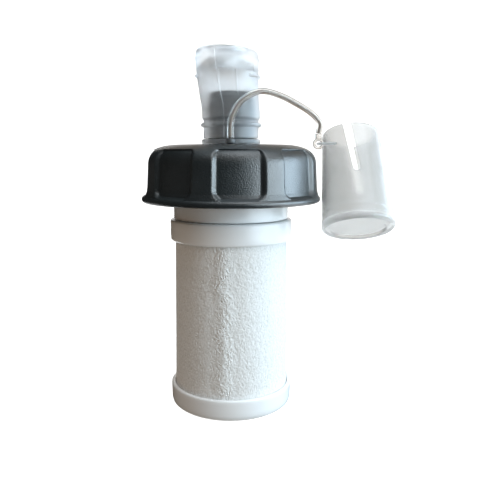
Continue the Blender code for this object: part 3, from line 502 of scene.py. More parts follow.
def groove(top):
    """The corners of one O-ring groove in the nipple, from its upper edge down."""
    foot = top - GROOVE_WIDTH_MM
    return [(NIPPLE_RADIUS_MM, top, 0.2), (GROOVE_RADIUS_MM, top, 0.0),
            (GROOVE_RADIUS_MM, foot, 0.0), (NIPPLE_RADIUS_MM, foot, 0.2)]


grooves = [corner for top in GROOVE_TOPS_MM for corner in groove(top)]
COLLAR_CORNERS_MM = (
    (5.0, 99.1, 0.3), (NIPPLE_RADIUS_MM, 99.1, 0.8), *grooves, (NIPPLE_RADIUS_MM, 85.9, 0.0),
    (23.2, 85.9, 0.9), (23.2, 74.5, 0.3), (21.2, 74.5, 0.3), (21.2, 83.9, 0.5), (12.0, 83.9, 0.0),
    (12.0, 76.0, 0.3), (5.0, 76.0, 0.2))
UPPER_RING_CORNERS_MM = (
    (5.0, 74.2, 0.2), (24.6, 74.2, 0.8), (24.6, 65.8, 0.9), (22.8, 65.8, 0.3), (22.8, 72.2, 0.2),
    (5.0, 72.2, 0.0))
LOWER_CUP_CORNERS_MM = (
    (0.0, 0.0, 0.0), (24.0, 0.0, 2.2), (24.3, 8.2, 0.6), (22.8, 8.2, 0.3), (22.8, 2.0, 0.3), (5.1, 2.0, 0.2),
    (5.1, 5.0, 0.4), (0.0, 5.0, 0.0))
for name, node, corners in (("white_collar", "outlet_collar", COLLAR_CORNERS_MM),
                            ("white_upper_ring", "upper_end_cap", UPPER_RING_CORNERS_MM),
                            ("white_lower_cup", "lower_end_cap", LOWER_CUP_CORNERS_MM)):
    shell = turned(name, corners, SHELL_SPACING_MM, SHELL_COLUMNS, WHITE_ABS)
    dress(shell, "cartridge", node)

# %% [markdown]
# ## Felt sleeve
# The felt's fibres lie in all directions, and mostly along the sleeve. Thousands of short fibres are
# laid on a height map of the unrolled sleeve, and the map pushes the grid outward, so that the light
# from the side rakes over real ridges. The seed is fixed, so every run gives the same fibres.

# %% Fibres on a height map
SLEEVE_RADIUS_MM = 22.5
SLEEVE_BOTTOM_MM = 2.3
SLEEVE_TOP_MM = 71.9
CELL_MM = 0.28
FIBRE_COUNT = 22000
FIBRE_HEIGHT_MM = 0.22
FIBRE_LOWEST = 0.35
FIBRE_LENGTH_MM = (1.0, 3.6)
FIBRE_LEAN = 0.9
# The step and the curl are in cells of the map.
FIBRE_STEP = 0.5
FIBRE_CURL = 0.004

random = np.random.default_rng(7)
columns = round(math.tau * SLEEVE_RADIUS_MM / CELL_MM)
rows = round((SLEEVE_TOP_MM - SLEEVE_BOTTOM_MM) / CELL_MM)
felt_height = np.zeros((rows + 1, columns))
for _ in range(FIBRE_COUNT):
    lean = random.normal(0.0, FIBRE_LEAN)
    length = random.uniform(*FIBRE_LENGTH_MM) / CELL_MM
    along = np.arange(0.0, length, FIBRE_STEP)
    column = random.uniform(0.0, columns) + along * math.sin(lean)
    column += FIBRE_CURL * along ** 2 * random.normal()
    row = random.uniform(-length, rows) + along * math.cos(lean)
    inside = (row > 0.0) & (row < rows)
    spots = (row[inside].astype(int), column[inside].astype(int) % columns)
    np.maximum.at(felt_height, spots, FIBRE_HEIGHT_MM * random.uniform(FIBRE_LOWEST, 1.0))
print("felt map", felt_height.shape)

# %% [markdown]
# ### The felt's weld
# One edge of the felt laps over the other and is welded there. That leaves a low uneven welt down the
# front, on which the fibres stand twice as high. It fades out before it meets the cup and the ring.

# %% Weld and skin of the felt
SLEEVE_WALL_MM = 1.4
WELD_DIRECTION = math.radians(-6.5)
WELD_HALF_MM = 5.0
WELD_HEIGHT_MM = 0.4
WELD_BOTTOM_MM = 8.5
WELD_TOP_MM = 65.5
WELD_FADE_MM = 3.0
WANDER_MM = 0.55
WANDER_ROWS = 14
PRESSED_SHARE = 0.8


def ease(share):
    """A share from 0 to 1 that starts and ends level."""
    return share * share * (3.0 - 2.0 * share)


def wrapped(turn, period=math.tau):
    """Angles taken back by whole periods to within half a period of zero."""
    return (turn + 0.5 * period) % period - 0.5 * period


heights = np.linspace(SLEEVE_BOTTOM_MM, SLEEVE_TOP_MM, rows + 1)
bends = heights[::WANDER_ROWS]
wander = np.interp(heights, bends, random.normal(0.0, WANDER_MM, len(bends)))
from_weld = SLEEVE_RADIUS_MM * wrapped(even_turn(columns) - WELD_DIRECTION) + wander[:, None]
welt = ease(np.clip(1.0 - np.abs(from_weld) / WELD_HALF_MM, 0.0, 1.0))
above_cup = np.clip((heights - WELD_BOTTOM_MM) / WELD_FADE_MM, 0.0, 1.0)
below_ring = np.clip((WELD_TOP_MM - heights) / WELD_FADE_MM, 0.0, 1.0)
felt_height = felt_height * (PRESSED_SHARE + PRESSED_SHARE * welt)
felt_height += WELD_HEIGHT_MM * welt * (above_cup * below_ring)[:, None]
outer = np.stack([np.full(rows + 1, SLEEVE_RADIUS_MM - 0.5 * FIBRE_HEIGHT_MM), heights], axis=1)
outside = revolve(outer, even_turn(columns))
outside[:, :, :2] *= (1.0 + felt_height / SLEEVE_RADIUS_MM)[:, :, None]
bore_radius = SLEEVE_RADIUS_MM - SLEEVE_WALL_MM
bore = revolve(np.array([(bore_radius, SLEEVE_TOP_MM), (bore_radius, SLEEVE_BOTTOM_MM)]), even_turn(columns))
sleeve = skin("felt_sleeve", np.concatenate([outside, bore]), FELT)
dress(sleeve, "cartridge", "prefilter_sleeve")
print("highest felt", round(float(felt_height.max()), 2), "mm")

# %% [markdown]
# ## Screw cap
# The cap is one turned outline with eight grip pockets pressed into it. Cutting the pockets with
# booleans would leave hard edges, and a moulded cap has a small round on each. So the outline is swept
# on a grid that is finest where the pockets' walls are, and each point is pushed in by a depth that
# comes from its distance to the pocket's rounded outline. The walls splay out, so that the moulding
# tool can slide away.

# %% Grip pockets as a depth map
CAP_RADIUS_MM = 34.6
POCKET_COUNT = 8
POCKET_PITCH = math.tau / POCKET_COUNT
POCKET_TURN = math.radians(5.7)
POCKET_HALF_MM = 9.8
POCKET_TOP_MM = 102.0
POCKET_BOTTOM_MM = 83.8
CORNER_TOP_MM = 2.3
CORNER_LOW_MM = 3.8
SIDE_WALL_MM = 1.5
END_WALL_MM = 0.45
STRAIGHT_SHARE = 0.45
BESIDE_WALL_MM = 1.0
TINY_MM = 0.001
FINE_COLUMNS = 17
COARSE_COLUMNS = 8


def cap_directions():
    """Directions round the cap, close together at the pockets' walls and rounded corners."""
    fine = np.linspace(-BESIDE_WALL_MM, SIDE_WALL_MM + CORNER_LOW_MM, FINE_COLUMNS)
    side = np.arcsin((POCKET_HALF_MM - fine) / CAP_RADIUS_MM)
    middle = np.linspace(-side[-1], side[-1], COARSE_COLUMNS)[1:-1]
    rib = np.linspace(side[0], POCKET_PITCH - side[0], COARSE_COLUMNS)[1:-1]
    one = np.concatenate([-side, middle, side[::-1], rib])
    return np.concatenate([one + POCKET_TURN + index * POCKET_PITCH for index in range(POCKET_COUNT)])


def pocket_share(grid):
    """How far each point lies in a pocket, from 0 on the skin to 1 on the pocket's floor."""
    turn = wrapped(np.arctan2(grid[:, :, 0], -grid[:, :, 1]) - POCKET_TURN, POCKET_PITCH)
    across = np.abs(CAP_RADIUS_MM * np.sin(turn))
    height = grid[:, :, 2] - 0.5 * (POCKET_TOP_MM + POCKET_BOTTOM_MM)
    corner = np.where(height > 0.0, CORNER_TOP_MM, CORNER_LOW_MM)
    past_side = across - (POCKET_HALF_MM - corner)
    past_end = np.abs(height) - (0.5 * (POCKET_TOP_MM - POCKET_BOTTOM_MM) - corner)
    in_corner = np.hypot(np.maximum(past_side, 0.0), np.maximum(past_end, 0.0))
    depth_in = corner - in_corner - np.minimum(np.maximum(past_side, past_end), 0.0)
    sideways = np.maximum(past_side, 0.0) / np.maximum(in_corner, TINY_MM)
    sideways = np.where(in_corner > 0.0, sideways, past_side > past_end)
    wall = END_WALL_MM + (SIDE_WALL_MM - END_WALL_MM) * sideways ** 2
    share = np.clip(depth_in / wall, 0.0, 1.0)
    return STRAIGHT_SHARE * share + (1.0 - STRAIGHT_SHARE) * ease(share)


print("directions round the cap:", len(cap_directions()))

# %% [markdown]
# ### The cap's outline and thread
# The shoulder is a quarter of a superellipse, a softened ellipse that leaves the barrel without a break,
# so the pockets' floors run over it in one curve. The pockets get shallower towards the top. A raised
# thread runs inside the skirt for the bottle's neck: each point of the bore is pushed in by its distance
# from the nearest turn of a helix.

# %% Outline of the cap
BEAD_CENTRE_MM = (34.6, 82.4)
BEAD_RADIUS_MM = 1.4
BEAD_POINTS = 9
BORE_RADIUS_MM = 31.8
SHOULDER_INNER_MM = 22.4
SHOULDER_WIDTH_MM = 12.0
SHOULDER_FOOT_MM = 95.0
SHOULDER_RISE_MM = 8.9
SHOULDER_POWER = 2.0 / 3.0
SHOULDER_POINTS = 60
CAP_SPACING_MM = 0.45

bead = [(BEAD_CENTRE_MM[0] + BEAD_RADIUS_MM * math.cos(angle),
         BEAD_CENTRE_MM[1] + BEAD_RADIUS_MM * math.sin(angle), 0.0)
        for angle in np.radians(np.linspace(60.0, -90.0, BEAD_POINTS))]
shoulder = [(SHOULDER_INNER_MM + SHOULDER_WIDTH_MM * math.sin(angle),
             SHOULDER_FOOT_MM + SHOULDER_RISE_MM * max(math.cos(angle), 0.0) ** SHOULDER_POWER, 0.0)
            for angle in np.radians(np.linspace(0.0, 90.0, SHOULDER_POINTS))]
CAP_CORNERS_MM = (
    (8.6, 103.9, 0.15), *shoulder, (34.8, 85.8, 1.2), *bead, (32.5, 81.0, 0.2), (BORE_RADIUS_MM, 81.7, 0.2),
    (BORE_RADIUS_MM, 100.5, 1.5), (11.5, 100.5, 0.5), (11.5, 86.2, 0.3), (9.0, 86.2, 0.3), (9.0, 99.5, 0.0),
    (7.0, 99.5, 0.0), (7.0, 102.1, 0.0), (8.6, 102.1, 0.0))
outline = rounded(CAP_CORNERS_MM, CAP_SPACING_MM)
cap_grid = revolve(outline, cap_directions())
print("cap grid", cap_grid.shape)

# %% Pockets, thread and skin of the cap
POCKET_DEPTH_MM = 1.6
SHALLOW_FROM_MM = 97.0
SHALLOW_OVER_MM = 5.0
SHALLOW_SHARE = 0.45
SKIRT_MIDDLE_MM = 32.6
CEILING_MM = 100.6
FLAT_TOP_MM = 28.0
THREAD_PITCH_MM = 5.0
THREAD_TURNS = 1.7
THREAD_START_MM = 85.5
THREAD_HALF_MM = 1.5
THREAD_HEIGHT_MM = 1.0
THREAD_FLANK = 1.35
ON_BORE_MM = 0.01

on_outside = outline[:, 0] > np.where(outline[:, 1] < CEILING_MM, SKIRT_MIDDLE_MM, FLAT_TOP_MM)
upward = np.clip((cap_grid[:, :, 2] - SHALLOW_FROM_MM) / SHALLOW_OVER_MM, 0.0, 1.0)
depth = POCKET_DEPTH_MM * (1.0 - SHALLOW_SHARE * upward ** 2) * pocket_share(cap_grid) * on_outside[:, None]
turn = np.arctan2(cap_grid[:, :, 0], -cap_grid[:, :, 1]) % math.tau
thread_turn = (cap_grid[:, :, 2] - THREAD_START_MM) / THREAD_PITCH_MM - turn / math.tau
nearest = np.clip(np.round(thread_turn), 0.0, THREAD_TURNS - turn / math.tau)
off_thread = np.abs(thread_turn - nearest) * THREAD_PITCH_MM / THREAD_HALF_MM
ridge = THREAD_HEIGHT_MM * np.clip(THREAD_FLANK * (1.0 - off_thread), 0.0, 1.0)
on_bore = np.abs(outline[:, 0] - BORE_RADIUS_MM) < ON_BORE_MM
inward = depth + ridge * on_bore[:, None]
radial = cap_grid[:, :, :2] / np.linalg.norm(cap_grid[:, :, :2], axis=2)[:, :, None]
cap_grid[:, :, :2] -= radial * inward[:, :, None]
screw_cap = skin("grey_screw_cap", cap_grid, GREY_CAP)
print("deepest pocket", round(float(depth.max()), 2), "mm")

# %% [markdown]
# ### Valve seat in the cap's top
# A small umbrella valve behind the spout lets air into a stiff bottle. Its head sits in a shallow seat,
# with a vent hole on each side. These are plain drilled shapes, so plain round cutters do.

# %% Valve seat and vents
VALVE_PLACE_MM = (0.0, 20.0)
VENT_SIDE_MM = 3.4
DRILL_TOP_MM = 105.0
DRILL_SPACING_MM = 3.0
DRILL_COLUMNS = 32
# Radius, bottom and place to the side of each drill.
DRILLS_MM = ((2.3, 102.8, 0.0), (1.5, 99.0, 0.0), (0.8, 99.0, -VENT_SIDE_MM), (0.8, 99.0, VENT_SIDE_MM))

for radius, bottom, side in DRILLS_MM:
    place = Matrix.Translation(Vector((VALVE_PLACE_MM[0] + side, VALVE_PLACE_MM[1], 0.0)) * MM)
    corners = ((0.0, bottom, 0.0), (radius, bottom, 0.0),
               (radius, DRILL_TOP_MM, 0.0), (0.0, DRILL_TOP_MM, 0.0))
    drill = turned("valve_drill", corners, DRILL_SPACING_MM, DRILL_COLUMNS, GREY_CAP, place)
    combine(screw_cap, drill, "DIFFERENCE")
dress(screw_cap, "cap", "screw_cap")

# %% [markdown]
# ## Spout stem
# The grey tube stands on the cap and holds the mouthpiece up. It shows through the silicone as a dark
# shape with a rounded top edge, and a low barb keeps the silicone on. It is turned in one go.

# %% Spout stem
STEM_SPACING_MM = 1.0
STEM_COLUMNS = 96
STEM_CORNERS_MM = (
    (5.4, 125.2, 0.5), (9.1, 125.2, 1.6), (9.3, 121.5, 3.0), (10.1, 117.5, 1.0), (10.1, 115.4, 0.4),
    (9.2, 114.4, 0.3), (9.2, 106.2, 0.0), (10.0, 106.2, 0.2), (10.0, 104.2, 0.2), (6.7, 104.2, 0.0),
    (6.7, 99.5, 0.2), (5.4, 99.5, 0.2))

stem = turned("grey_spout_stem", STEM_CORNERS_MM, STEM_SPACING_MM, STEM_COLUMNS, GREY_STEM)
dress(stem, "cap", "spout_stem")

# %% [markdown]
# ## Mouthpiece
# The mouthpiece is a soft tube with a thick lip and a dished top that a slit opens. Its neck has a bead
# near the foot. The outline follows the stem inside, with room for the barb.

# %% Mouthpiece outline
MOUTH_TOP_MM = 142.3
MOUTH_SPACING_MM = 0.4
MOUTH_COLUMNS = 420
MOUTH_CORNERS_MM = (
    (0.0, 140.1, 0.0), (6.35, 140.1, 1.0), (8.6, MOUTH_TOP_MM, 1.0), (12.3, MOUTH_TOP_MM, 2.0),
    (12.95, 138.3, 2.5), (11.7, 120.3, 6.0), (11.7, 114.8, 0.6), (11.1, 113.7, 0.4), (11.1, 112.8, 0.2),
    (12.2, 112.8, 0.85), (12.2, 111.0, 0.85), (11.1, 111.0, 0.2), (11.1, 106.5, 0.4), (9.5, 106.5, 0.2),
    (9.5, 113.7, 0.3), (10.3, 114.8, 0.3), (10.3, 133.3, 2.0), (6.35, 138.5, 1.0), (0.0, 138.5, 0.0))

mouth_outline = rounded(MOUTH_CORNERS_MM, MOUTH_SPACING_MM)
mouth_grid = revolve(mouth_outline, even_turn(MOUTH_COLUMNS))
print("mouthpiece grid", mouth_grid.shape)

# %% [markdown]
# ### Marks on the mouthpiece
# The moulding shows a fine parting line at the front left, the raised outline of a panel, a small notch,
# and two lugs that hold it when it is pulled up. All of these are small rises and falls of one grid, so
# their edges are soft, as in a real moulding.

# %% Lugs, parting line, panel and notch
MOUTH_WALL_MM = 12.3
WALL_INNER_MM = 10.8
NEAR_AXIS_MM = 1.0
LIP_FOOT_MM = 140.5
MARK_EDGE_MM = (0.4, 0.4)
LUG_HEIGHT_MM = 131.3
LUG_HALF_MM = (6.2, 0.8)
LUG_EDGE_MM = (0.8, 0.5)
LUG_RISE_MM = 0.8
LUG_DIRECTIONS = (math.radians(70.0), math.radians(250.0))
SEAM_DIRECTION = math.radians(-14.0)
SEAM_BEND = math.radians(-8.0)
SEAM_BEND_FROM_MM = 120.0
SEAM_BEND_OVER_MM = 20.0
SEAM_HALF_MM = 0.32
SEAM_EDGE_MM = 0.25
SEAM_RISE_MM = 0.3
PANEL_DIRECTION = 0.0
PANEL_HEIGHT_MM = 128.0
PANEL_HALF_MM = (3.9, 5.4)
PANEL_INNER_HALF_MM = (3.4, 4.9)
PANEL_RISE_MM = 0.22
NOTCH_DIRECTION = math.radians(47.0)
NOTCH_HEIGHT_MM = 134.2
NOTCH_HALF_MM = (2.2, 1.6)
NOTCH_DEPTH_MM = 0.45


def plateau(distance, half_width, edge):
    """1 within the half width, falling smoothly to 0 over the edge."""
    return ease(np.clip((half_width - np.abs(distance)) / edge, 0.0, 1.0))


def across_wall(direction):
    """How far round the mouthpiece's wall each point lies from a direction, in mm."""
    turn = np.arctan2(mouth_grid[:, :, 0], -mouth_grid[:, :, 1]) - direction
    return wrapped(turn) * MOUTH_WALL_MM


def patch(direction, height, half, edge=MARK_EDGE_MM):
    """1 on a small rectangle of the wall, falling smoothly to 0 over its edges."""
    upward = mouth_grid[:, :, 2] - height
    return plateau(across_wall(direction), half[0], edge[0]) * plateau(upward, half[1], edge[1])


seam_share = np.clip((mouth_grid[:, :, 2] - SEAM_BEND_FROM_MM) / SEAM_BEND_OVER_MM, 0.0, 1.0)
seam = across_wall(SEAM_DIRECTION + SEAM_BEND * seam_share)
rise = SEAM_RISE_MM * plateau(seam, SEAM_HALF_MM, SEAM_EDGE_MM)
for direction in LUG_DIRECTIONS:
    rise += LUG_RISE_MM * patch(direction, LUG_HEIGHT_MM, LUG_HALF_MM, LUG_EDGE_MM)
rise += PANEL_RISE_MM * (patch(PANEL_DIRECTION, PANEL_HEIGHT_MM, PANEL_HALF_MM)
                         - patch(PANEL_DIRECTION, PANEL_HEIGHT_MM, PANEL_INNER_HALF_MM))
rise -= NOTCH_DEPTH_MM * patch(NOTCH_DIRECTION, NOTCH_HEIGHT_MM, NOTCH_HALF_MM)
rise *= ((mouth_outline[:, 0] > WALL_INNER_MM) & (mouth_outline[:, 1] < LIP_FOOT_MM))[:, None]
radius = np.maximum(np.hypot(mouth_grid[:, :, 0], mouth_grid[:, :, 1]), NEAR_AXIS_MM)
mouth_grid[:, :, :2] *= (1.0 + rise / radius)[:, :, None]
print("highest rise", round(float(rise.max()), 2), "mm")

# %% [markdown]
# ### Lean and slit of the mouthpiece
# The mouthpiece leans a little to the left, and its rim slopes, so the grid is sheared above its neck.
# The slit is a thin blade cut out of the dished top.

# %% Lean, skin and slit
LEAN_MM = 1.65
LEAN_START_MM = 117.5
RIM_SLOPE = 0.06
SLIT_SIZE_MM = (9.0, 0.5, 12.0)

share = np.clip((mouth_grid[:, :, 2] - LEAN_START_MM) / (MOUTH_TOP_MM - LEAN_START_MM), 0.0, 1.0)
mouth_grid[:, :, 2] -= RIM_SLOPE * share ** 2 * mouth_grid[:, :, 0]
mouth_grid[:, :, 0] -= LEAN_MM * share * (2.0 - share)
mouthpiece = skin("silicone_mouthpiece", mouth_grid, SILICONE)
slit_work = bmesh.new()
slit_place = Matrix.Translation(Vector((-LEAN_MM, 0.0, MOUTH_TOP_MM)) * MM)
slit_size = Matrix.Diagonal([size * MM for size in SLIT_SIZE_MM] + [1.0])
bmesh.ops.create_cube(slit_work, size=1.0, matrix=slit_place @ slit_size)
combine(mouthpiece, finish_mesh(slit_work, "slit_blade", SILICONE), "DIFFERENCE")
dress(mouthpiece, "cap", "mouthpiece")

# %% [markdown]
# ## Tether ring and loop
# The tether is moulded with a flat ring that turns on the foot of the spout, and a small loop at the
# other end. The ring has a tongue that the cord grows out of, and a short neck carries the loop. Both
# are turned on their own axes and joined on.

# %% Tether ring
RING_SPACING_MM = 0.4
RING_COLUMNS = 96
RING_CORNERS_MM = ((10.3, 104.2, 0.3), (11.8, 104.2, 0.5), (11.8, 106.2, 0.5), (10.3, 106.2, 0.3))
TONGUE_COLUMNS = 48
TONGUE_CORNERS_MM = ((0.0, 104.25, 0.0), (1.9, 104.25, 0.4), (1.9, 106.15, 0.4), (0.0, 106.15, 0.0))
TONGUE_PLACE_MM = (0.0, -12.4, 0.0)
TONGUE_STRETCH = (1.0, 1.79, 1.0, 1.0)

ring = turned("clear_tether_ring", RING_CORNERS_MM, RING_SPACING_MM, RING_COLUMNS, SILICONE)
tongue_place = Matrix.Translation(Vector(TONGUE_PLACE_MM) * MM) @ Matrix.Diagonal(TONGUE_STRETCH)
tongue = turned("tether_tongue", TONGUE_CORNERS_MM, RING_SPACING_MM, TONGUE_COLUMNS, SILICONE, tongue_place)
combine(ring, tongue, "UNION")
dress(ring, "tether", "tether_ring")

# %% Tether loop
HANG_MM = Vector((35.4, -0.2, 104.4))
LOOP_RADIUS_MM = 1.7
LOOP_WIRE_MM = 0.6
LOOP_SECTION_SIDES = 20
LOOP_SPACING_MM = 1.0
LOOP_COLUMNS = 48
NECK_CORNERS_MM = ((0.0, 1.75, 0.0), (1.2, 1.75, 0.3), (1.5, 4.0, 0.3), (0.0, 4.0, 0.0))
NECK_SPACING_MM = 0.6
NECK_COLUMNS = 32

loop_section = [(LOOP_RADIUS_MM + LOOP_WIRE_MM * math.cos(angle), LOOP_WIRE_MM * math.sin(angle), 0.0)
                for angle in even_turn(LOOP_SECTION_SIDES)]
hang_place = Matrix.Translation(HANG_MM * MM)
facing_front = hang_place @ Matrix.Rotation(math.radians(90.0), 4, "X")
loop = turned("clear_tether_loop", loop_section, LOOP_SPACING_MM, LOOP_COLUMNS, CLEAR, facing_front)
neck = turned("tether_neck", NECK_CORNERS_MM, NECK_SPACING_MM, NECK_COLUMNS, CLEAR, hang_place)
combine(loop, neck, "UNION")
dress(loop, "tether", "tether_eye")

# %% [markdown]
# ## Dust cap
# The dust cap is a tapered cup, open at the top, that hangs by a thin bail through the tether's loop.
# Two opposite slots let its rim spring over the mouthpiece, and a fine raised line near its foot shows
# where the two halves of its mould meet. Its own frame has the hang point as origin, so one placing puts
# the cup and the slots in the world together.

# %% Dust cap
DUST_TILT = math.radians(-26.5)
DUST_AXIS_MM = 14.7
DUST_SIDEWAYS_MM = 6.7
DUST_AXIS = (hang_place @ Matrix.Rotation(DUST_TILT, 4, "X")
             @ Matrix.Translation(Vector((DUST_AXIS_MM, DUST_SIDEWAYS_MM, 0.0)) * MM))
DUST_SPACING_MM = 1.0
DUST_COLUMNS = 160
DUST_CORNERS_MM = (
    (0.0, -31.5, 0.0), (12.8, -31.5, 0.8), (10.4, 7.2, 0.3), (11.9, 7.2, 0.5), (14.12, -28.2, 0.0),
    (14.24, -28.5, 0.0), (14.16, -28.8, 0.0), (14.5, -34.3, 1.4), (11.0, -34.3, 0.4), (10.2, -33.5, 0.4),
    (0.0, -33.5, 0.0))
SLOT_TURN = math.radians(-13.0)
SLOT_LEAN = math.radians(-7.0)
SLOT_RIM_HALF_MM = 1.65
SLOT_TOP_MM = 8.7
SLOT_END_RADIUS_MM = 1.35
SLOT_END_HEIGHT_MM = -13.45
SLOT_END_POINTS = 13
BLADE_REACH_MM = 20.0


def slot_blade():
    """A flat blade as wide as the slots, with a round end, that passes right through the cup."""
    outline = [(SLOT_RIM_HALF_MM, SLOT_TOP_MM), (-SLOT_RIM_HALF_MM, SLOT_TOP_MM)]
    outline += [(SLOT_END_RADIUS_MM * math.cos(angle),
                 SLOT_END_HEIGHT_MM + SLOT_END_RADIUS_MM * math.sin(angle))
                for angle in np.radians(np.linspace(180.0, 360.0, SLOT_END_POINTS))]
    work = bmesh.new()
    front = work.faces.new([work.verts.new((x * MM, -BLADE_REACH_MM * MM, z * MM)) for x, z in outline])
    far = bmesh.ops.extrude_face_region(work, geom=[front])["geom"]
    far_corners = [item for item in far if isinstance(item, bmesh.types.BMVert)]
    bmesh.ops.translate(work, vec=(0.0, 2.0 * BLADE_REACH_MM * MM, 0.0), verts=far_corners)
    work.transform(DUST_AXIS @ Matrix.Rotation(SLOT_TURN, 4, "Z") @ Matrix.Rotation(SLOT_LEAN, 4, "Y"))
    return finish_mesh(work, "slot_blade", FROSTED)


dust_cap = turned("frosted_dust_cap", DUST_CORNERS_MM, DUST_SPACING_MM, DUST_COLUMNS, FROSTED, DUST_AXIS)
combine(dust_cap, slot_blade(), "DIFFERENCE")
dress(dust_cap, "dust_cap", "dust_cap")

# %% [markdown]
# ### Bail of the dust cap
# The bail is a thin rod bent to a U. Its middle passes through the tether's loop, so that the two are
# linked as on the real part, and its legs end in the cup's wall. The cup lies off to one side of the hang
# point, so the length of each leg is worked out.

# %% Bail of the dust cap
BAIL_HALF_MM = 2.4
BAIL_RADIUS_MM = 0.5
BAIL_END_RADIUS_MM = 11.6
BAIL_BEND_MM = ((0.6, BAIL_HALF_MM), (0.15, 2.25), (0.0, 1.8))

wall_x = [DUST_AXIS_MM - math.sqrt(BAIL_END_RADIUS_MM ** 2
                                   - (side * BAIL_HALF_MM * math.cos(DUST_TILT) - DUST_SIDEWAYS_MM) ** 2)
          for side in (1.0, -1.0)]
bail_outline = [(wall_x[0], BAIL_HALF_MM), *BAIL_BEND_MM, (0.0, 0.0),
                *[(x, -y) for x, y in BAIL_BEND_MM[::-1]], (wall_x[1], -BAIL_HALF_MM)]
bail_line = [(HANG_MM + Vector((x, y, 0.0))) * MM for x, y in bail_outline]
bail = tube("milky_bail", bail_line, [(BAIL_RADIUS_MM * MM, SILICONE)])
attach(bail, "dust_cap")
print("bail reaches the wall at", [round(x, 2) for x in wall_x], "mm")

# %% [markdown]
# ## Seals and inner pieces
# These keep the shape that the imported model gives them. They are hidden in use, and show from below or
# when the part is taken apart, so they get the same care in their finishes.

# %% Finishes of the pieces that keep their solids
INNER_FINISHES = {
    "rim_gasket": SEAL, "stem_o_ring": SEAL, "nipple_o_ring_lower": SEAL, "nipple_o_ring_upper": SEAL,
    "collar_gasket": SILICONE, "block_gasket_bottom": SEAL, "block_gasket_top": SEAL, "air_valve": SILICONE,
    "filter_block": CARBON, "core_tube": WHITE_ABS}
for name, finish in INNER_FINISHES.items():
    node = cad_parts[name]
    node.data.materials.clear()
    node.data.materials.append(finish)
print("finished", len(INNER_FINISHES), "inner pieces")

# %% [markdown]
# ## Floor and light
# The object was lit by cool windows at the right, with a dim warm room at the left. The ground is a
# back-lit white bowl, as studios use for pictures on plain white. It curves up all round the object, so
# that no horizon shows, and it throws no light back on the object, which keeps the left side in shade.

# %% Floor
FLOOR_RADIUS = 1.0
FLOOR_SIDES = 72
SWEEP_RADIUS = 0.5
SWEEP_TOP = 0.7
SWEEP_STEPS = 15

sweep = [(0.0, 0.0), (FLOOR_RADIUS, 0.0)]
sweep += [(FLOOR_RADIUS + SWEEP_RADIUS * math.sin(angle), SWEEP_RADIUS * (1.0 - math.cos(angle)))
          for angle in np.radians(np.linspace(0.0, 90.0, SWEEP_STEPS + 1)[1:])]
sweep += [(FLOOR_RADIUS + SWEEP_RADIUS, SWEEP_TOP)]
floor_work = bmesh.new()
profile = [floor_work.verts.new((radius, 0.0, z)) for radius, z in sweep]
edges = [floor_work.edges.new(pair) for pair in zip(profile, profile[1:])]
bmesh.ops.spin(floor_work, geom=profile + edges, angle=math.tau, steps=FLOOR_SIDES, axis=(0.0, 0.0, 1.0),
               use_merge=True)
bmesh.ops.remove_doubles(floor_work, verts=floor_work.verts, dist=MM)
PALE_SHEET, tree, shader, place = start_material(
    "acrylic_white_back_lit_sheet", Roughness=0.9, Emission_Color=linear("#ffffff"), Emission_Strength=0.95)
haze = add(tree, "TexNoise", {"Vector": place, "Scale": per_metre(40.0), "Detail": 3.0})
tone = add(tree, "Mix", {
    "Factor": haze.outputs["Fac"], "A": linear("#f4f4f3"), "B": linear("#fafafa")}, data_type="RGBA")
feed(tree, shader, {"Base Color": tone.outputs["Result"]})
floor = finish_mesh(floor_work, "pale_floor", PALE_SHEET)
floor.visible_diffuse = False
print("floor faces:", len(floor.data.polygons))

# %% [markdown]
# ### Black cloth
# A dark glossy thing on a white ground mirrors the white. Photographers hang black cloth where they want
# a reflection to be dark. This one hangs at the left and in front, and lies on the ground there. It is
# seen only in reflections, where it keeps the left and the middle of the cap dark.

# %% Black cloth
CLOTH_LINE = ((-0.22, 0.6), (-0.15, 0.05), (-0.15, -0.35), (0.06, -0.5), (0.28, -0.52))
CLOTH_INNER = ((0.14, -0.12), (0.02, 0.06))
CLOTH_TOP = 0.35

cloth_work = bmesh.new()
cloth_foot = [cloth_work.verts.new((x, y, MM)) for x, y in CLOTH_LINE]
cloth_top = [cloth_work.verts.new((x, y, CLOTH_TOP)) for x, y in CLOTH_LINE]
for corners in zip(cloth_foot, cloth_foot[1:], cloth_top[1:], cloth_top):
    cloth_work.faces.new(corners)
cloth_work.faces.new(cloth_foot[1:] + [cloth_work.verts.new((x, y, MM)) for x, y in CLOTH_INNER])
BLACK_CLOTH = start_material("cotton_black_woven_flag", Base_Color=linear("#0b0a09"), Roughness=0.95,
                             Specular_IOR_Level=0.0)[0]
flag = finish_mesh(cloth_work, "black_flag", BLACK_CLOTH)
flag.visible_camera = False
flag.visible_diffuse = False
flag.visible_transmission = False
flag.visible_shadow = False
print("cloth faces:", len(flag.data.polygons))

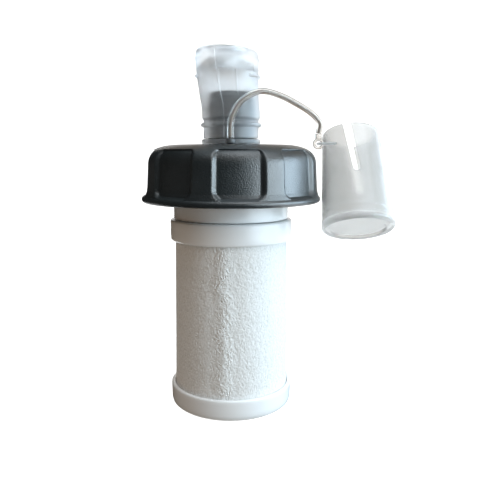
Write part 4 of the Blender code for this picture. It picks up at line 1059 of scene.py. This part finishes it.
# %% [markdown]
# ### Windows and room
# Three area lamps stand for the windows, which run from the front right to the right, and a fourth for the
# light that comes from above. The room itself is dim and warm at eye level, and brighter and cooler
# overhead, which gives each shape a soft change of tone from top to side.

# %% Windows and room
AIM = Vector((0.0, 0.0, 0.08))
# Name, degrees round from the front, then reach, height and size in metres, watts and colour.
LIGHTS = (
    ("window_front", 57.0, 0.62, 0.11, 0.42, 3.4, "#daf2ff"),
    ("window_side", 90.0, 0.60, 0.14, 0.24, 1.8, "#c8e8ff"),
    ("window_far", 120.0, 0.60, 0.12, 0.22, 0.65, "#c8e8ff"),
    ("ceiling", 36.0, 0.42, 0.78, 0.70, 3.5, "#f0f8ff"),
)

bpy.context.scene.view_settings.view_transform = "Standard"
for name, azimuth, reach, height, size, power, colour in LIGHTS:
    lamp = bpy.data.lights.new(name, "AREA")
    lamp.size = size
    lamp.energy = power
    lamp.color = linear(colour)[:3]
    light = bpy.data.objects.new(name, lamp)
    turn = math.radians(azimuth)
    light.location = (reach * math.sin(turn), -reach * math.cos(turn), height)
    light.rotation_euler = (AIM - light.location).to_track_quat("-Z", "Y").to_euler()
    bpy.context.scene.collection.objects.link(light)

world = bpy.data.worlds.new("dim_room")
world.use_nodes = True
sky = world.node_tree
look = add(sky, "SeparateXYZ", {"Vector": add(sky, "TexCoord", {}).outputs["Generated"]})
steep = add(sky, "Math", {0: look.outputs["Z"]}, operation="ABSOLUTE")
glow = add(sky, "MapRange", {
    "Value": steep.outputs["Value"], "From Min": 0.15, "From Max": 0.6, "To Min": 0.04, "To Max": 0.5})
high = add(sky, "MapRange", {"Value": steep.outputs["Value"], "From Min": 0.55, "From Max": 0.85})
tint = add(sky, "Mix", {
    "Factor": high.outputs["Result"], "A": linear("#ffe2c4"), "B": linear("#e2eff4")}, data_type="RGBA")
background = sky.nodes["Background"]
feed(sky, background, {"Color": tint.outputs["Result"], "Strength": glow.outputs["Result"]})
bpy.context.scene.world = world
print("lights:", [name for name, *_ in LIGHTS])
